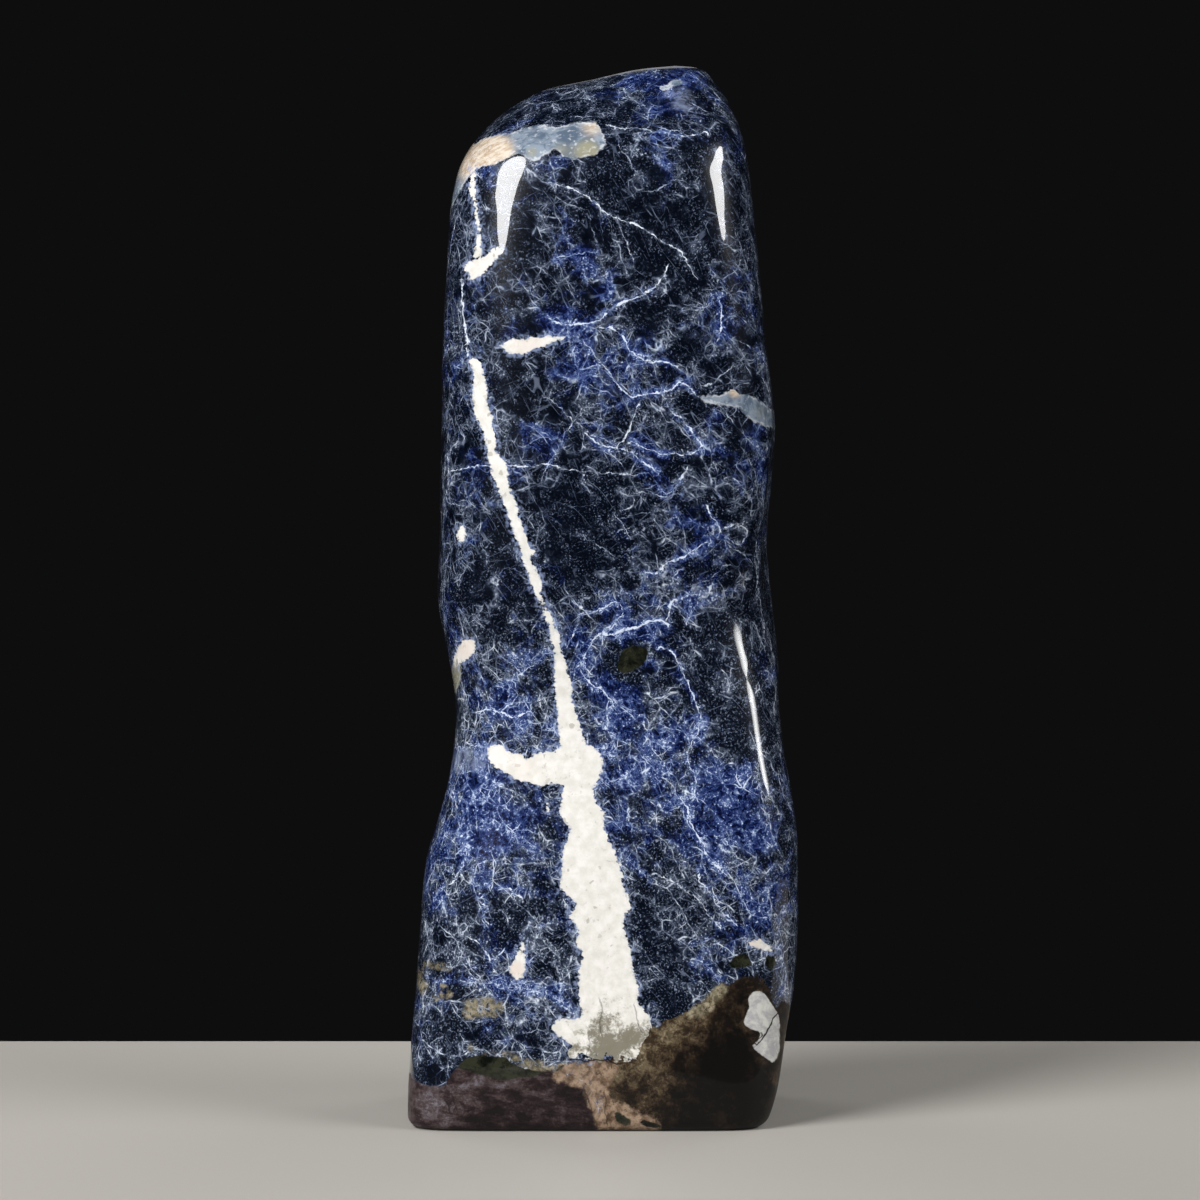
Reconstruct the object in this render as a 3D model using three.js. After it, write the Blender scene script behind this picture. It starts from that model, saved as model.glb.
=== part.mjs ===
// A polished sodalite freeform: one tall block of blue stone, about 300 mm high, that
// stands on a small flat foot. It is wider than it is deep, has a waist in its left side,
// a firm ridge down the front right and a bevelled top that rises to a peak at the right.
//
// Millimetres, +Z up, +X to the right and -Y towards the viewer of the front face.
// The origin ends up under the middle of the stone, on the surface it stands on.

import * as THREE from 'three';
import { mergeVertices } from 'three/addons/utils/BufferGeometryUtils.js';

// Driving dimensions
const HEIGHT = 300;            // foot to peak
const FOOT_ROUNDING = 2.8;     // radius of the worn edge round the foot
const WAVE_HEIGHT = 0.28;      // hand polishing leaves the faces this uneven
const SECTIONS = 76;           // rings from foot to peak
const SIDES = 64;              // points round each ring
const CORNER_CROWDING = 0.11;  // how strongly a ring's points gather at its corners

// Where the lowest rings stand, as shares of the first level's height
const FOOT_RINGS = [0, 0.02, 0.07, 0.18, 0.34, 0.55];

// A shallow furrow down the right face behind the front ridge: its middle, by height and by
// angle round the stone, its depth, and how far it reaches up and round.
const FURROW = { z: 166, angle: -0.42, depth: 1.5, tall: 40, wide: 0.2 };

// The column, from the foot up. Each level lists its height, then how far its left, right,
// front and back faces stand from the upright axis, then how square its corners are:
// front left, front right, back left and back right. 2 is a plain ellipse.
const COLUMN = [
  { z: 0, left: 54.4, right: 47.0, front: 39.4, back: 38.4, corners: [9.0, 9.0, 6.0, 5.0] },
  { z: 6, left: 54.4, right: 49.2, front: 39.4, back: 38.6, corners: [8.4, 8.6, 5.7, 4.9] },
  { z: 13, left: 54.2, right: 51.0, front: 39.4, back: 38.8, corners: [7.6, 7.6, 5.4, 4.8] },
  { z: 26, left: 53.4, right: 53.1, front: 39.4, back: 39.0, corners: [6.2, 6.0, 4.8, 4.4] },
  { z: 38, left: 52.4, right: 55.3, front: 39.3, back: 38.9, corners: [5.2, 5.2, 4.4, 4.0] },
  { z: 54, left: 51.5, right: 56.3, front: 39.1, back: 38.4, corners: [4.1, 4.8, 4.0, 3.6] },
  { z: 71, left: 50.3, right: 56.2, front: 38.6, back: 37.4, corners: [3.5, 5.2, 3.7, 3.4] },
  { z: 83, left: 47.0, right: 55.7, front: 37.8, back: 36.4, corners: [3.3, 5.5, 3.5, 3.4] },
  { z: 95, left: 43.5, right: 53.8, front: 36.7, back: 35.6, corners: [3.4, 5.4, 3.4, 3.4] },
  { z: 107, left: 41.2, right: 51.8, front: 35.6, back: 35.0, corners: [3.5, 5.0, 3.3, 3.4] },
  { z: 119, left: 40.8, right: 51.0, front: 34.8, back: 34.8, corners: [3.4, 4.3, 3.2, 3.4] },
  { z: 131, left: 42.7, right: 51.2, front: 34.6, back: 35.0, corners: [3.3, 3.3, 3.2, 3.4] },
  { z: 147, left: 46.0, right: 49.7, front: 34.6, back: 35.4, corners: [3.2, 3.0, 3.2, 3.4] },
  { z: 164, left: 45.9, right: 48.2, front: 34.4, back: 35.6, corners: [3.2, 4.3, 3.2, 3.4] },
  { z: 181, left: 45.9, right: 49.3, front: 34.1, back: 35.4, corners: [3.2, 4.9, 3.1, 3.3] },
  { z: 198, left: 45.3, right: 50.0, front: 33.6, back: 34.8, corners: [3.1, 4.9, 3.0, 3.2] },
  { z: 220, left: 45.0, right: 47.3, front: 32.6, back: 33.6, corners: [3.1, 4.9, 2.9, 3.0] },
  { z: 242, left: 43.8, right: 45.1, front: 31.2, back: 32.0, corners: [3.1, 4.7, 2.8, 2.9] },
  { z: 255, left: 43.0, right: 43.8, front: 30.2, back: 30.9, corners: [3.0, 4.2, 2.7, 2.8] },
];

// The bevelled top, from the end of the column to the peak. Each loop lists where it crosses
// the left and right outline as [x, z], where it crosses the front and back slopes as
// [y, z], and how far behind the axis the outline has moved.
const TOP = [
  { left: [-42.0, 262.5], right: [42.7, 266.5], front: [-29.3, 263.5], back: [29.8, 264.5],
    behind: 0.4, corners: [3.0, 3.6, 2.6, 2.7] },
  { left: [-40.3, 270.0], right: [41.7, 274.3], front: [-28.3, 270.0], back: [28.8, 272.0],
    behind: 1.4, corners: [2.9, 3.3, 2.5, 2.6] },
  { left: [-37.2, 276.4], right: [40.2, 281.2], front: [-26.2, 275.3], back: [27.2, 278.6],
    behind: 2.8, corners: [2.8, 3.1, 2.4, 2.5] },
  { left: [-32.2, 282.5], right: [38.0, 287.2], front: [-22.4, 279.4], back: [24.8, 284.4],
    behind: 4.2, corners: [2.7, 2.9, 2.3, 2.4] },
  { left: [-25.0, 288.3], right: [35.5, 291.8], front: [-16.8, 283.6], back: [21.8, 289.2],
    behind: 5.4, corners: [2.6, 2.7, 2.3, 2.3] },
  { left: [-15.4, 293.2], right: [32.8, 295.4], front: [-10.8, 288.7], back: [18.8, 292.8],
    behind: 6.2, corners: [2.4, 2.5, 2.2, 2.2] },
  { left: [-2.6, 296.0], right: [30.6, 298.1], front: [-5.0, 293.9], back: [15.2, 296.2],
    behind: 6.6, corners: [2.3, 2.4, 2.1, 2.1] },
  { left: [10.0, 298.8], right: [27.4, 299.5], front: [0.4, 298.2], back: [11.4, 298.8],
    behind: 6.6, corners: [2.1, 2.1, 2.0, 2.0] },
];
const PEAK = { x: 21.5, y: 6.5, z: HEIGHT };

// Every level, loop and the peak as one row of the surface: four crossing points and corners
function surfaceRows() {
  const point = (x, y, z) => new THREE.Vector3(x, y, z);
  const rows = COLUMN.map((level) => ({
    left: point(-level.left, 0, level.z),
    right: point(level.right, 0, level.z),
    front: point(0, -level.front, level.z),
    back: point(0, level.back, level.z),
    corners: level.corners,
  }));
  for (const loop of TOP) {
    rows.push({
      left: point(loop.left[0], loop.behind, loop.left[1]),
      right: point(loop.right[0], loop.behind, loop.right[1]),
      front: point(0, loop.front[0], loop.front[1]),
      back: point(0, loop.back[0], loop.back[1]),
      corners: loop.corners,
    });
  }
  const peak = point(PEAK.x, PEAK.y, PEAK.z);
  rows.push({ left: peak, right: peak, front: peak, back: peak, corners: [2, 2, 2, 2] });
  return rows;
}

// Rails: smooth curves from the foot to the peak through the same point of every row
function makeRails() {
  const rows = surfaceRows();
  const rail = (pick) => new THREE.CatmullRomCurve3(rows.map(pick), false, 'catmullrom', 0.5);
  return {
    left: rail((row) => row.left),
    right: rail((row) => row.right),
    front: rail((row) => row.front),
    back: rail((row) => row.back),
    frontCorners: rail((row) => new THREE.Vector3(row.corners[0], row.corners[1], 0)),
    backCorners: rail((row) => new THREE.Vector3(row.corners[2], row.corners[3], 0)),
  };
}

// The worn edge of the foot pulls the lowest rings in along a quarter circle.
function footInset(z) {
  if (z >= FOOT_ROUNDING) return 0;
  const below = FOOT_ROUNDING - z;
  return FOOT_ROUNDING - Math.sqrt(FOOT_ROUNDING ** 2 - below ** 2);
}

// Slow waves in the polish, fading out at the foot and the peak so that both stay true.
function polishWave(angle, z) {
  const fade = Math.sin(Math.PI * THREE.MathUtils.clamp(z / HEIGHT, 0, 1));
  const slow = Math.sin(3 * angle + z / 31) + 0.7 * Math.sin(2 * angle - z / 19 + 1.3);
  return WAVE_HEIGHT * fade * (slow + 0.5 * Math.sin(5 * angle + z / 13 + 0.6));
}

// A long shallow furrow runs down the right face behind the front ridge.
function furrowDepth(angle, z) {
  const away = Math.atan2(Math.sin(angle - FURROW.angle), Math.cos(angle - FURROW.angle));
  const square = (away / FURROW.wide) ** 2 + ((z - FURROW.z) / FURROW.tall) ** 2;
  return FURROW.depth * Math.exp(-square);
}

// One point of the surface: along is 0 at the foot and 1 at the peak, and angle runs round
// the stone from the right face by way of the back, the left and the front.
function surfacePoint(rails, along, angle) {
  const left = rails.left.getPoint(along);
  const right = rails.right.getPoint(along);
  const front = rails.front.getPoint(along);
  const back = rails.back.getPoint(along);
  const centre = left.clone().lerp(right, 0.5);

  const cos = Math.cos(angle);
  const sin = Math.sin(angle);
  const corners = (sin < 0 ? rails.frontCorners : rails.backCorners).getPoint(along);
  const square = cos < 0 ? corners.x : corners.y;
  const reach = (Math.abs(cos) ** square + Math.abs(sin) ** square) ** (-1 / square);
  const across = reach * cos;
  const deep = reach * sin;

  const side = cos < 0 ? left : right;
  const face = sin < 0 ? front : back;
  const ease = polishWave(angle, centre.z) - footInset(centre.z) - furrowDepth(angle, centre.z);
  return new THREE.Vector3(
    centre.x + Math.abs(across) * (side.x - centre.x) + ease * across,
    centre.y + Math.abs(deep) * (face.y - centre.y) + ease * deep,
    centre.z + Math.abs(across) * (side.z - centre.z) + Math.abs(deep) * (face.z - centre.z),
  );
}

// How far up the rails a ring stands: 0 at the foot and just short of 1 under the peak.
// Rings stand closer together where the worn edge of the foot curves.
function ringPosition(ring) {
  const levels = COLUMN.length + TOP.length;
  if (ring < FOOT_RINGS.length) return FOOT_RINGS[ring] / levels;
  const footEnd = FOOT_RINGS.at(-1) / levels;
  const step = (1 - footEnd) / (SECTIONS - FOOT_RINGS.length + 1);
  return footEnd + step * (ring - FOOT_RINGS.length + 1);
}

function stoneGeometry() {
  const rails = makeRails();
  const positions = [];
  const triangles = [];
  for (let ring = 0; ring < SECTIONS; ring++) {
    const along = ringPosition(ring);
    for (let side = 0; side < SIDES; side++) {
      const turn = (2 * Math.PI * side) / SIDES;
      const angle = turn + CORNER_CROWDING * Math.sin(4 * turn);
      positions.push(...surfacePoint(rails, along, angle).toArray());
    }
  }
  const foot = positions.length / 3;
  positions.push(0, 0, 0);
  const peak = foot + 1;
  positions.push(PEAK.x, PEAK.y, PEAK.z);

  const lastRing = (SECTIONS - 1) * SIDES;
  for (let side = 0; side < SIDES; side++) {
    const next = (side + 1) % SIDES;
    triangles.push(foot, next, side);
    triangles.push(peak, lastRing + side, lastRing + next);
    for (let ring = 0; ring < SECTIONS - 1; ring++) {
      const low = ring * SIDES;
      const high = low + SIDES;
      triangles.push(low + side, low + next, high + next);
      triangles.push(low + side, high + next, high + side);
    }
  }

  const geometry = new THREE.BufferGeometry();
  geometry.setAttribute('position', new THREE.Float32BufferAttribute(positions, 3));
  geometry.setIndex(triangles);
  const merged = mergeVertices(geometry);
  merged.computeBoundingBox();
  const middle = merged.boundingBox.getCenter(new THREE.Vector3());
  merged.translate(-middle.x, -middle.y, 0);
  merged.computeVertexNormals();
  return merged;
}

function sodaliteMaterial() {
  return new THREE.MeshStandardMaterial({ color: 0x27356f, roughness: 0.12, metalness: 0 });
}

function makeStone() {
  const stone = new THREE.Mesh(stoneGeometry(), sodaliteMaterial());
  stone.name = 'sodalite_stone';
  return stone;
}

const part = new THREE.Group();
part.add(makeStone());

export default part;
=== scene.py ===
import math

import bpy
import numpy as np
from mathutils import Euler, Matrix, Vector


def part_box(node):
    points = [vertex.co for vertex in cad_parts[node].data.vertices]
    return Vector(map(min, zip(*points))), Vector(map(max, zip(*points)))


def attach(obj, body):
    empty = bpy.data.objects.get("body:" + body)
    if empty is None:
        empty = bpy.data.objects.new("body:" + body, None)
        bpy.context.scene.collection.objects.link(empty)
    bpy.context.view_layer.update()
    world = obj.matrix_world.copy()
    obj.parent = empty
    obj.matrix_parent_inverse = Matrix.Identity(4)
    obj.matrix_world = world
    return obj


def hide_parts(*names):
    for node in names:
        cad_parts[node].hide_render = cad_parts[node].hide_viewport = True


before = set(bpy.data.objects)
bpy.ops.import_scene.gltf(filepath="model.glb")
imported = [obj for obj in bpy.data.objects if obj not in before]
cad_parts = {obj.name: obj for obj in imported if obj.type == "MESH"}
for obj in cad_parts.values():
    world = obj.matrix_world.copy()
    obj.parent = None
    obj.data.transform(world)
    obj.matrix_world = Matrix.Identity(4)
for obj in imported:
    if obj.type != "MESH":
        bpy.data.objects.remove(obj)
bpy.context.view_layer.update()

# A tall polished sodalite freeform: dark blue stone with a fine pale web, white veins, a pale
# band over its left shoulder and a brown matrix at its foot. The skin follows the same rows as
# the solid, only finer, and its veins and patches are drawn from named outlines. Lengths are
# in millimetres until the mesh is made, and in metres for the floor and the lights. +X is
# right, and -Y is towards the viewer of the front.

NODE = "sodalite_stone"
BODY = "root"
MM = 0.001
SEED = 41

# ---------------------------------------------------------------------------------------
# The stone's shape
# ---------------------------------------------------------------------------------------

HEIGHT = 300.0
FOOT_ROUNDING = 2.8
FURROW_HEIGHT = 166.0
FURROW_ANGLE = -0.42
FURROW_DEPTH = 1.5
FURROW_TALL = 40.0
FURROW_WIDE = 0.2

# Slow waves left by hand polishing: how many to a turn, how many millimetres they climb in a
# radian, where they start, and their share of the height
WAVE_HEIGHT = 0.28
WAVES = [(3, 31, 0.0, 1.0), (2, -19, 1.3, 0.7), (5, 13, 0.6, 0.5)]

# Height, then how far the left, right, front and back faces stand from the axis, then how
# square the corners are: front left, front right, back left, back right
COLUMN = [
    (0, 54.4, 47.0, 39.4, 38.4, 9.0, 9.0, 6.0, 5.0),
    (6, 54.4, 49.2, 39.4, 38.6, 8.4, 8.6, 5.7, 4.9),
    (13, 54.2, 51.0, 39.4, 38.8, 7.6, 7.6, 5.4, 4.8),
    (26, 53.4, 53.1, 39.4, 39.0, 6.2, 6.0, 4.8, 4.4),
    (38, 52.4, 55.3, 39.3, 38.9, 5.2, 5.2, 4.4, 4.0),
    (54, 51.5, 56.3, 39.1, 38.4, 4.1, 4.8, 4.0, 3.6),
    (71, 50.3, 56.2, 38.6, 37.4, 3.5, 5.2, 3.7, 3.4),
    (83, 47.0, 55.7, 37.8, 36.4, 3.3, 5.5, 3.5, 3.4),
    (95, 43.5, 53.8, 36.7, 35.6, 3.4, 5.4, 3.4, 3.4),
    (107, 41.2, 51.8, 35.6, 35.0, 3.5, 5.0, 3.3, 3.4),
    (119, 40.8, 51.0, 34.8, 34.8, 3.4, 4.3, 3.2, 3.4),
    (131, 42.7, 51.2, 34.6, 35.0, 3.3, 3.3, 3.2, 3.4),
    (147, 46.0, 49.7, 34.6, 35.4, 3.2, 3.0, 3.2, 3.4),
    (164, 45.9, 48.2, 34.4, 35.6, 3.2, 4.3, 3.2, 3.4),
    (181, 45.9, 49.3, 34.1, 35.4, 3.2, 4.9, 3.1, 3.3),
    (198, 45.3, 50.0, 33.6, 34.8, 3.1, 4.9, 3.0, 3.2),
    (220, 45.0, 47.3, 32.6, 33.6, 3.1, 4.9, 2.9, 3.0),
    (242, 43.8, 45.1, 31.2, 32.0, 3.1, 4.7, 2.8, 2.9),
    (255, 43.0, 43.8, 30.2, 30.9, 3.0, 4.2, 2.7, 2.8),
]
# Left x and z, right x and z, front y and z, back y and z, how far behind the axis the
# outline lies, then the corners
TOP = [
    (-42.0, 262.5, 42.7, 266.5, -29.3, 263.5, 29.8, 264.5, 0.4, 3.0, 3.6, 2.6, 2.7),
    (-40.3, 270.0, 41.7, 274.3, -28.3, 270.0, 28.8, 272.0, 1.4, 2.9, 3.3, 2.5, 2.6),
    (-37.2, 276.4, 40.2, 281.2, -26.2, 275.3, 27.2, 278.6, 2.8, 2.8, 3.1, 2.4, 2.5),
    (-32.2, 282.5, 38.0, 287.2, -22.4, 279.4, 24.8, 284.4, 4.2, 2.7, 2.9, 2.3, 2.4),
    (-25.0, 288.3, 35.5, 291.8, -16.8, 283.6, 21.8, 289.2, 5.4, 2.6, 2.7, 2.3, 2.3),
    (-15.4, 293.2, 32.8, 295.4, -10.8, 288.7, 18.8, 292.8, 6.2, 2.4, 2.5, 2.2, 2.2),
    (-2.6, 296.0, 30.6, 298.1, -5.0, 293.9, 15.2, 296.2, 6.6, 2.3, 2.4, 2.1, 2.1),
    (10.0, 298.8, 27.4, 299.5, 0.4, 298.2, 11.4, 298.8, 6.6, 2.1, 2.1, 2.0, 2.0),
]
PEAK = (21.5, 6.5, HEIGHT)

# How fine the skin is. Its sides are spaced finely in front of the middle of the fade and
# widely behind it. The steps are for measuring lengths along curves.
RINGS = 412
FOOT_RINGS = 7
FRONT_SPACING = 0.76
BACK_SPACING = 2.25
SPACING_MIDWAY = -8.0
SPACING_FADE = 48.0
RAIL_STEPS = 6000
TURN_STEPS = 20001
TYPICAL_HALF_WIDTH = 48.0
TYPICAL_HALF_DEPTH = 36.0
TYPICAL_CORNER = 4.0


def surface_rails():
    """The rows as arrays of control points, one for each rail from the foot to the peak."""
    left, right, front, back, corners = [], [], [], [], []
    for z, to_left, to_right, to_front, to_back, *square in COLUMN:
        left.append((-to_left, 0, z))
        right.append((to_right, 0, z))
        front.append((0, -to_front, z))
        back.append((0, to_back, z))
        corners.append(square)
    for row in TOP:
        behind = row[8]
        left.append((row[0], behind, row[1]))
        right.append((row[2], behind, row[3]))
        front.append((0, row[4], row[5]))
        back.append((0, row[6], row[7]))
        corners.append(row[9:])
    for rail in (left, right, front, back):
        rail.append(PEAK)
    corners.append((2, 2, 2, 2))
    return [np.array(rail, float) for rail in (left, right, front, back, corners)]


def along_rail(rail, share):
    """Points of a Catmull-Rom curve through a rail, at shares from 0 to 1 of its rows."""
    before = 2 * rail[0] - rail[1]
    after = 2 * rail[-1] - rail[-2]
    knots = np.vstack([before, rail, after])
    spot = np.clip(share, 0, 1) * (len(rail) - 1)
    step = np.minimum(spot.astype(int), len(rail) - 2)
    w = (spot - step)[:, None]
    a, b, c, d = (knots[step + k] for k in range(4))
    slope_in = 0.5 * (c - a)
    slope_out = 0.5 * (d - b)
    cubic = (2 * b - 2 * c + slope_in + slope_out) * w**3
    square = (-3 * b + 3 * c - 2 * slope_in - slope_out) * w**2
    return cubic + square + slope_in * w + b


def ring_shares():
    """Where the rings stand: evenly up the front, closer together round the foot's edge."""
    front = surface_rails()[2]
    fine = np.linspace(0, 1, RAIL_STEPS)
    line = along_rail(front, fine)
    walked = np.concatenate([[0], np.cumsum(np.linalg.norm(np.diff(line, axis=0), axis=1))])
    turn = np.linspace(0, math.pi / 2, FOOT_RINGS, endpoint=False)
    foot_heights = FOOT_ROUNDING * (1 - np.cos(turn))
    foot = np.interp(foot_heights, line[:, 2], fine)
    start = np.interp(FOOT_ROUNDING, line[:, 2], walked)
    spacing = (walked[-1] - start) / (RINGS - FOOT_RINGS + 1)
    upper = start + spacing * np.arange(RINGS - FOOT_RINGS)
    return np.concatenate([foot, np.interp(upper, walked, fine)])


def side_angles():
    """Angles round a ring, spaced finely over the front and wider over the sides and back."""
    angle = np.linspace(0, 2 * math.pi, TURN_STEPS)
    cos, sin = np.cos(angle), np.sin(angle)
    power = TYPICAL_CORNER
    reach = (np.abs(cos) ** power + np.abs(sin) ** power) ** (-1 / power)
    x = TYPICAL_HALF_WIDTH * reach * cos
    y = TYPICAL_HALF_DEPTH * reach * sin
    fineness = np.clip(0.5 - (y[1:] - SPACING_MIDWAY) / SPACING_FADE, 0, 1)
    spacing = BACK_SPACING + (FRONT_SPACING - BACK_SPACING) * fineness
    walked = np.concatenate([[0], np.cumsum(np.hypot(np.diff(x), np.diff(y)) / spacing)])
    count = int(walked[-1])
    return np.interp(np.arange(count) * walked[-1] / count, walked, angle)


def polish_wave(angle, z):
    """How far the waves stand out, fading away at the foot and the peak."""
    fade = np.sin(math.pi * np.clip(z / HEIGHT, 0, 1))
    waves = sum(share * np.sin(count * angle + z / climb + start)
                for count, climb, start, share in WAVES)
    return WAVE_HEIGHT * fade * waves


def foot_inset(z):
    """How far the rounded edge of the foot draws in, low down."""
    below = np.clip(FOOT_ROUNDING - z, 0, FOOT_ROUNDING)
    return FOOT_ROUNDING - np.sqrt(FOOT_ROUNDING**2 - below**2)


def furrow_depth(angle, z):
    """The shallow furrow down the right face, behind the front ridge."""
    turn = angle - FURROW_ANGLE
    away = np.arctan2(np.sin(turn), np.cos(turn)) / FURROW_WIDE
    return FURROW_DEPTH * np.exp(-(away**2 + ((z - FURROW_HEIGHT) / FURROW_TALL) ** 2))


def ring_points():
    """Every ring of the skin, as an array of rings by sides by x, y and z."""
    rails = surface_rails()
    share = ring_shares()
    left, right, front, back, corners = (along_rail(rail, share)[:, None] for rail in rails)
    angle = side_angles()[None, :]
    cos, sin = np.cos(angle), np.sin(angle)
    front_square = np.where(cos < 0, corners[..., 0], corners[..., 1])
    back_square = np.where(cos < 0, corners[..., 2], corners[..., 3])
    square = np.where(sin < 0, front_square, back_square)
    reach = (np.abs(cos) ** square + np.abs(sin) ** square) ** (-1 / square)
    across = (reach * cos)[..., None]
    deep = (reach * sin)[..., None]
    centre = (left + right) / 2
    side = np.where(cos[..., None] < 0, left, right)
    face = np.where(sin[..., None] < 0, front, back)
    z = centre[..., 2]
    ease = (polish_wave(angle, z) - foot_inset(z) - furrow_depth(angle, z))[..., None]
    points = centre + np.abs(across) * (side - centre) + np.abs(deep) * (face - centre)
    points[..., 0] = centre[..., 0] + (np.abs(across) * (side - centre) + ease * across)[..., 0]
    points[..., 1] = centre[..., 1] + (np.abs(deep) * (face - centre) + ease * deep)[..., 1]
    return points


def skin_faces(rings, sides):
    """Quads between the rings, and fans that close the foot and the peak."""
    foot = rings * sides
    peak = foot + 1
    last = (rings - 1) * sides
    faces = []
    for side in range(sides):
        beside = (side + 1) % sides
        faces.append((foot, beside, side))
        faces.append((peak, last + side, last + beside))
    for ring in range(rings - 1):
        low = ring * sides
        high = low + sides
        for side in range(sides):
            beside = (side + 1) % sides
            faces.append((low + side, low + beside, high + beside, high + side))
    return faces


# ---------------------------------------------------------------------------------------
# The picture: where a point of the stone shows
# ---------------------------------------------------------------------------------------

PICTURE = 1200
FOCAL = 4360.0
CAMERA_DISTANCE = 1250.0
CAMERA_TILT = math.radians(2.5)
AIM_HEIGHT = 147.0
PIXELS_PER_MM = FOCAL / CAMERA_DISTANCE

FRONT, RIGHT, BACK, LEFT = 0, 90, 180, 270


def picture_of(points, turn):
    """Pixels where points show, seen from the front or from a quarter or half turn round."""
    angle = math.radians(turn)
    x = points[:, 0] * math.cos(angle) + points[:, 1] * math.sin(angle)
    y = points[:, 1] * math.cos(angle) - points[:, 0] * math.sin(angle)
    up = points[:, 2] - AIM_HEIGHT
    away = CAMERA_DISTANCE + y * math.cos(CAMERA_TILT) - up * math.sin(CAMERA_TILT)
    rise = y * math.sin(CAMERA_TILT) + up * math.cos(CAMERA_TILT)
    return np.stack([PICTURE / 2 + FOCAL * x / away, PICTURE / 2 - FOCAL * rise / away], 1)


def depth_behind(points, ring_of, turn):
    """How far each point lies behind the nearest point of its own ring, in that view."""
    angle = math.radians(turn)
    y = points[:, 1] * math.cos(angle) - points[:, 0] * math.sin(angle)
    nearest = np.full(ring_of.max() + 1, np.inf)
    np.minimum.at(nearest, ring_of, y)
    return y - nearest[ring_of]


# ---------------------------------------------------------------------------------------
# Outlines and traces, in pixels of that picture: x and y of each point in turn
# ---------------------------------------------------------------------------------------

# The thick white vein down the front: height in the picture, left edge, right edge
MAIN_VEIN = [
    (358, 466, 479), (374, 474, 485), (389, 472, 487), (403, 472, 488), (414, 474, 492),
    (426, 480, 493), (437, 484, 496), (455, 487, 498), (467, 489, 509), (481, 494, 508),
    (492, 498, 512), (506, 504, 518), (520, 510, 520), (534, 513, 527), (547, 518, 529),
    (552, 519, 538), (557, 522, 530), (562, 523, 533), (575, 528, 540), (583, 530, 543),
    (592, 533, 540), (600, 538, 545), (612, 542, 549), (623, 547, 556), (636, 550, 560),
    (650, 553, 562), (663, 553, 567), (675, 555, 569), (686, 554, 573), (700, 556, 572),
    (718, 557, 579), (739, 559, 584), (790, 563, 594), (799, 561, 594), (817, 559, 608),
    (828, 570, 603), (840, 566, 610), (856, 562, 617), (868, 561, 621), (888, 558, 625),
    (896, 568, 627), (905, 578, 633), (915, 566, 625), (928, 579, 624), (946, 574, 631),
    (954, 584, 631), (969, 578, 634), (992, 578, 639), (1004, 579, 638), (1014, 578, 648),
]
ARROW_STEM = [
    (166, 470, 477), (178, 470, 475), (192, 469, 476), (204, 472, 477), (216, 474, 479),
    (228, 476, 480), (240, 476, 482), (252, 474, 482), (260, 472, 482),
]
VEIN_FOOT = [
    580,1003, 582,1012, 578,1019, 566,1018, 557,1019, 551,1026, 553,1034, 562,1038, 572,1047,
    569,1053, 569,1058, 590,1059, 606,1059, 612,1061, 625,1062, 636,1060, 642,1052, 640,1046,
    646,1036, 650,1029, 652,1020, 648,1013, 640,1007,
]
CROSS_BAR = [
    484,748, 496,744, 505,746, 509,752, 521,752, 527,760, 536,752, 558,751, 563,742, 590,744,
    601,754, 605,766, 600,778, 594,790, 563,786, 555,783, 538,788, 529,784, 518,782, 503,772,
    492,767,
]
ARROW_BLOB = [
    464,264, 474,259, 486,254, 494,247, 502,248, 504,254, 494,262, 489,269, 475,281, 466,280,
    469,274, 463,270,
]
LENS_BLOB = [
    500,344, 509,339, 520,337, 538,337, 555,335, 568,336, 561,341, 543,347, 534,350, 523,355,
    511,355, 503,351,
]
OVAL_BLOB = [461,524, 466,529, 467,539, 463,544, 457,541, 455,533]
CREAM_BLOB = [458,645, 465,638, 473,638, 477,646, 475,655, 466,660, 460,664, 455,672, 452,660]
SMALL_MARK = [545,803, 550,804, 551,811, 546,814]
BOWLING_PIN = [
    521,941, 525,940, 525,950, 524,960, 527,968, 524,979, 515,980, 507,971, 512,963, 517,953,
]
PINK_MARKS = [746,941, 758,938, 771,945, 776,953, 766,952, 752,948]

SHOULDER_BAND = [
    430,214, 430,152, 458,147, 479,143, 486,140, 507,136, 527,130, 549,129, 582,122, 594,121,
    601,128, 604,138, 608,145, 592,155, 575,160, 566,158, 556,149, 547,153, 538,161, 527,159,
    524,154, 510,155, 501,162, 486,166, 476,169, 469,170, 456,196, 440,230,
]
RIGHT_PATCH = [
    696,394, 715,397, 724,393, 735,388, 742,395, 751,395, 766,405, 780,416, 780,432, 768,427,
    758,424, 749,418, 743,413, 740,406, 726,405, 715,404, 701,402,
]
PEAK_STREAK = [658,88, 668,84, 674,79, 682,79, 682,84, 673,87, 665,90]
PEAK_HAZE = [662,86, 676,80, 690,84, 698,98, 690,113, 676,111, 664,102]
BAR_END = [440,752, 454,748, 470,746, 486,748, 493,766, 476,772, 440,778]
CREAM_TAIL = [453,664, 462,660, 461,676, 457,690, 452,702, 444,690]

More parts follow.
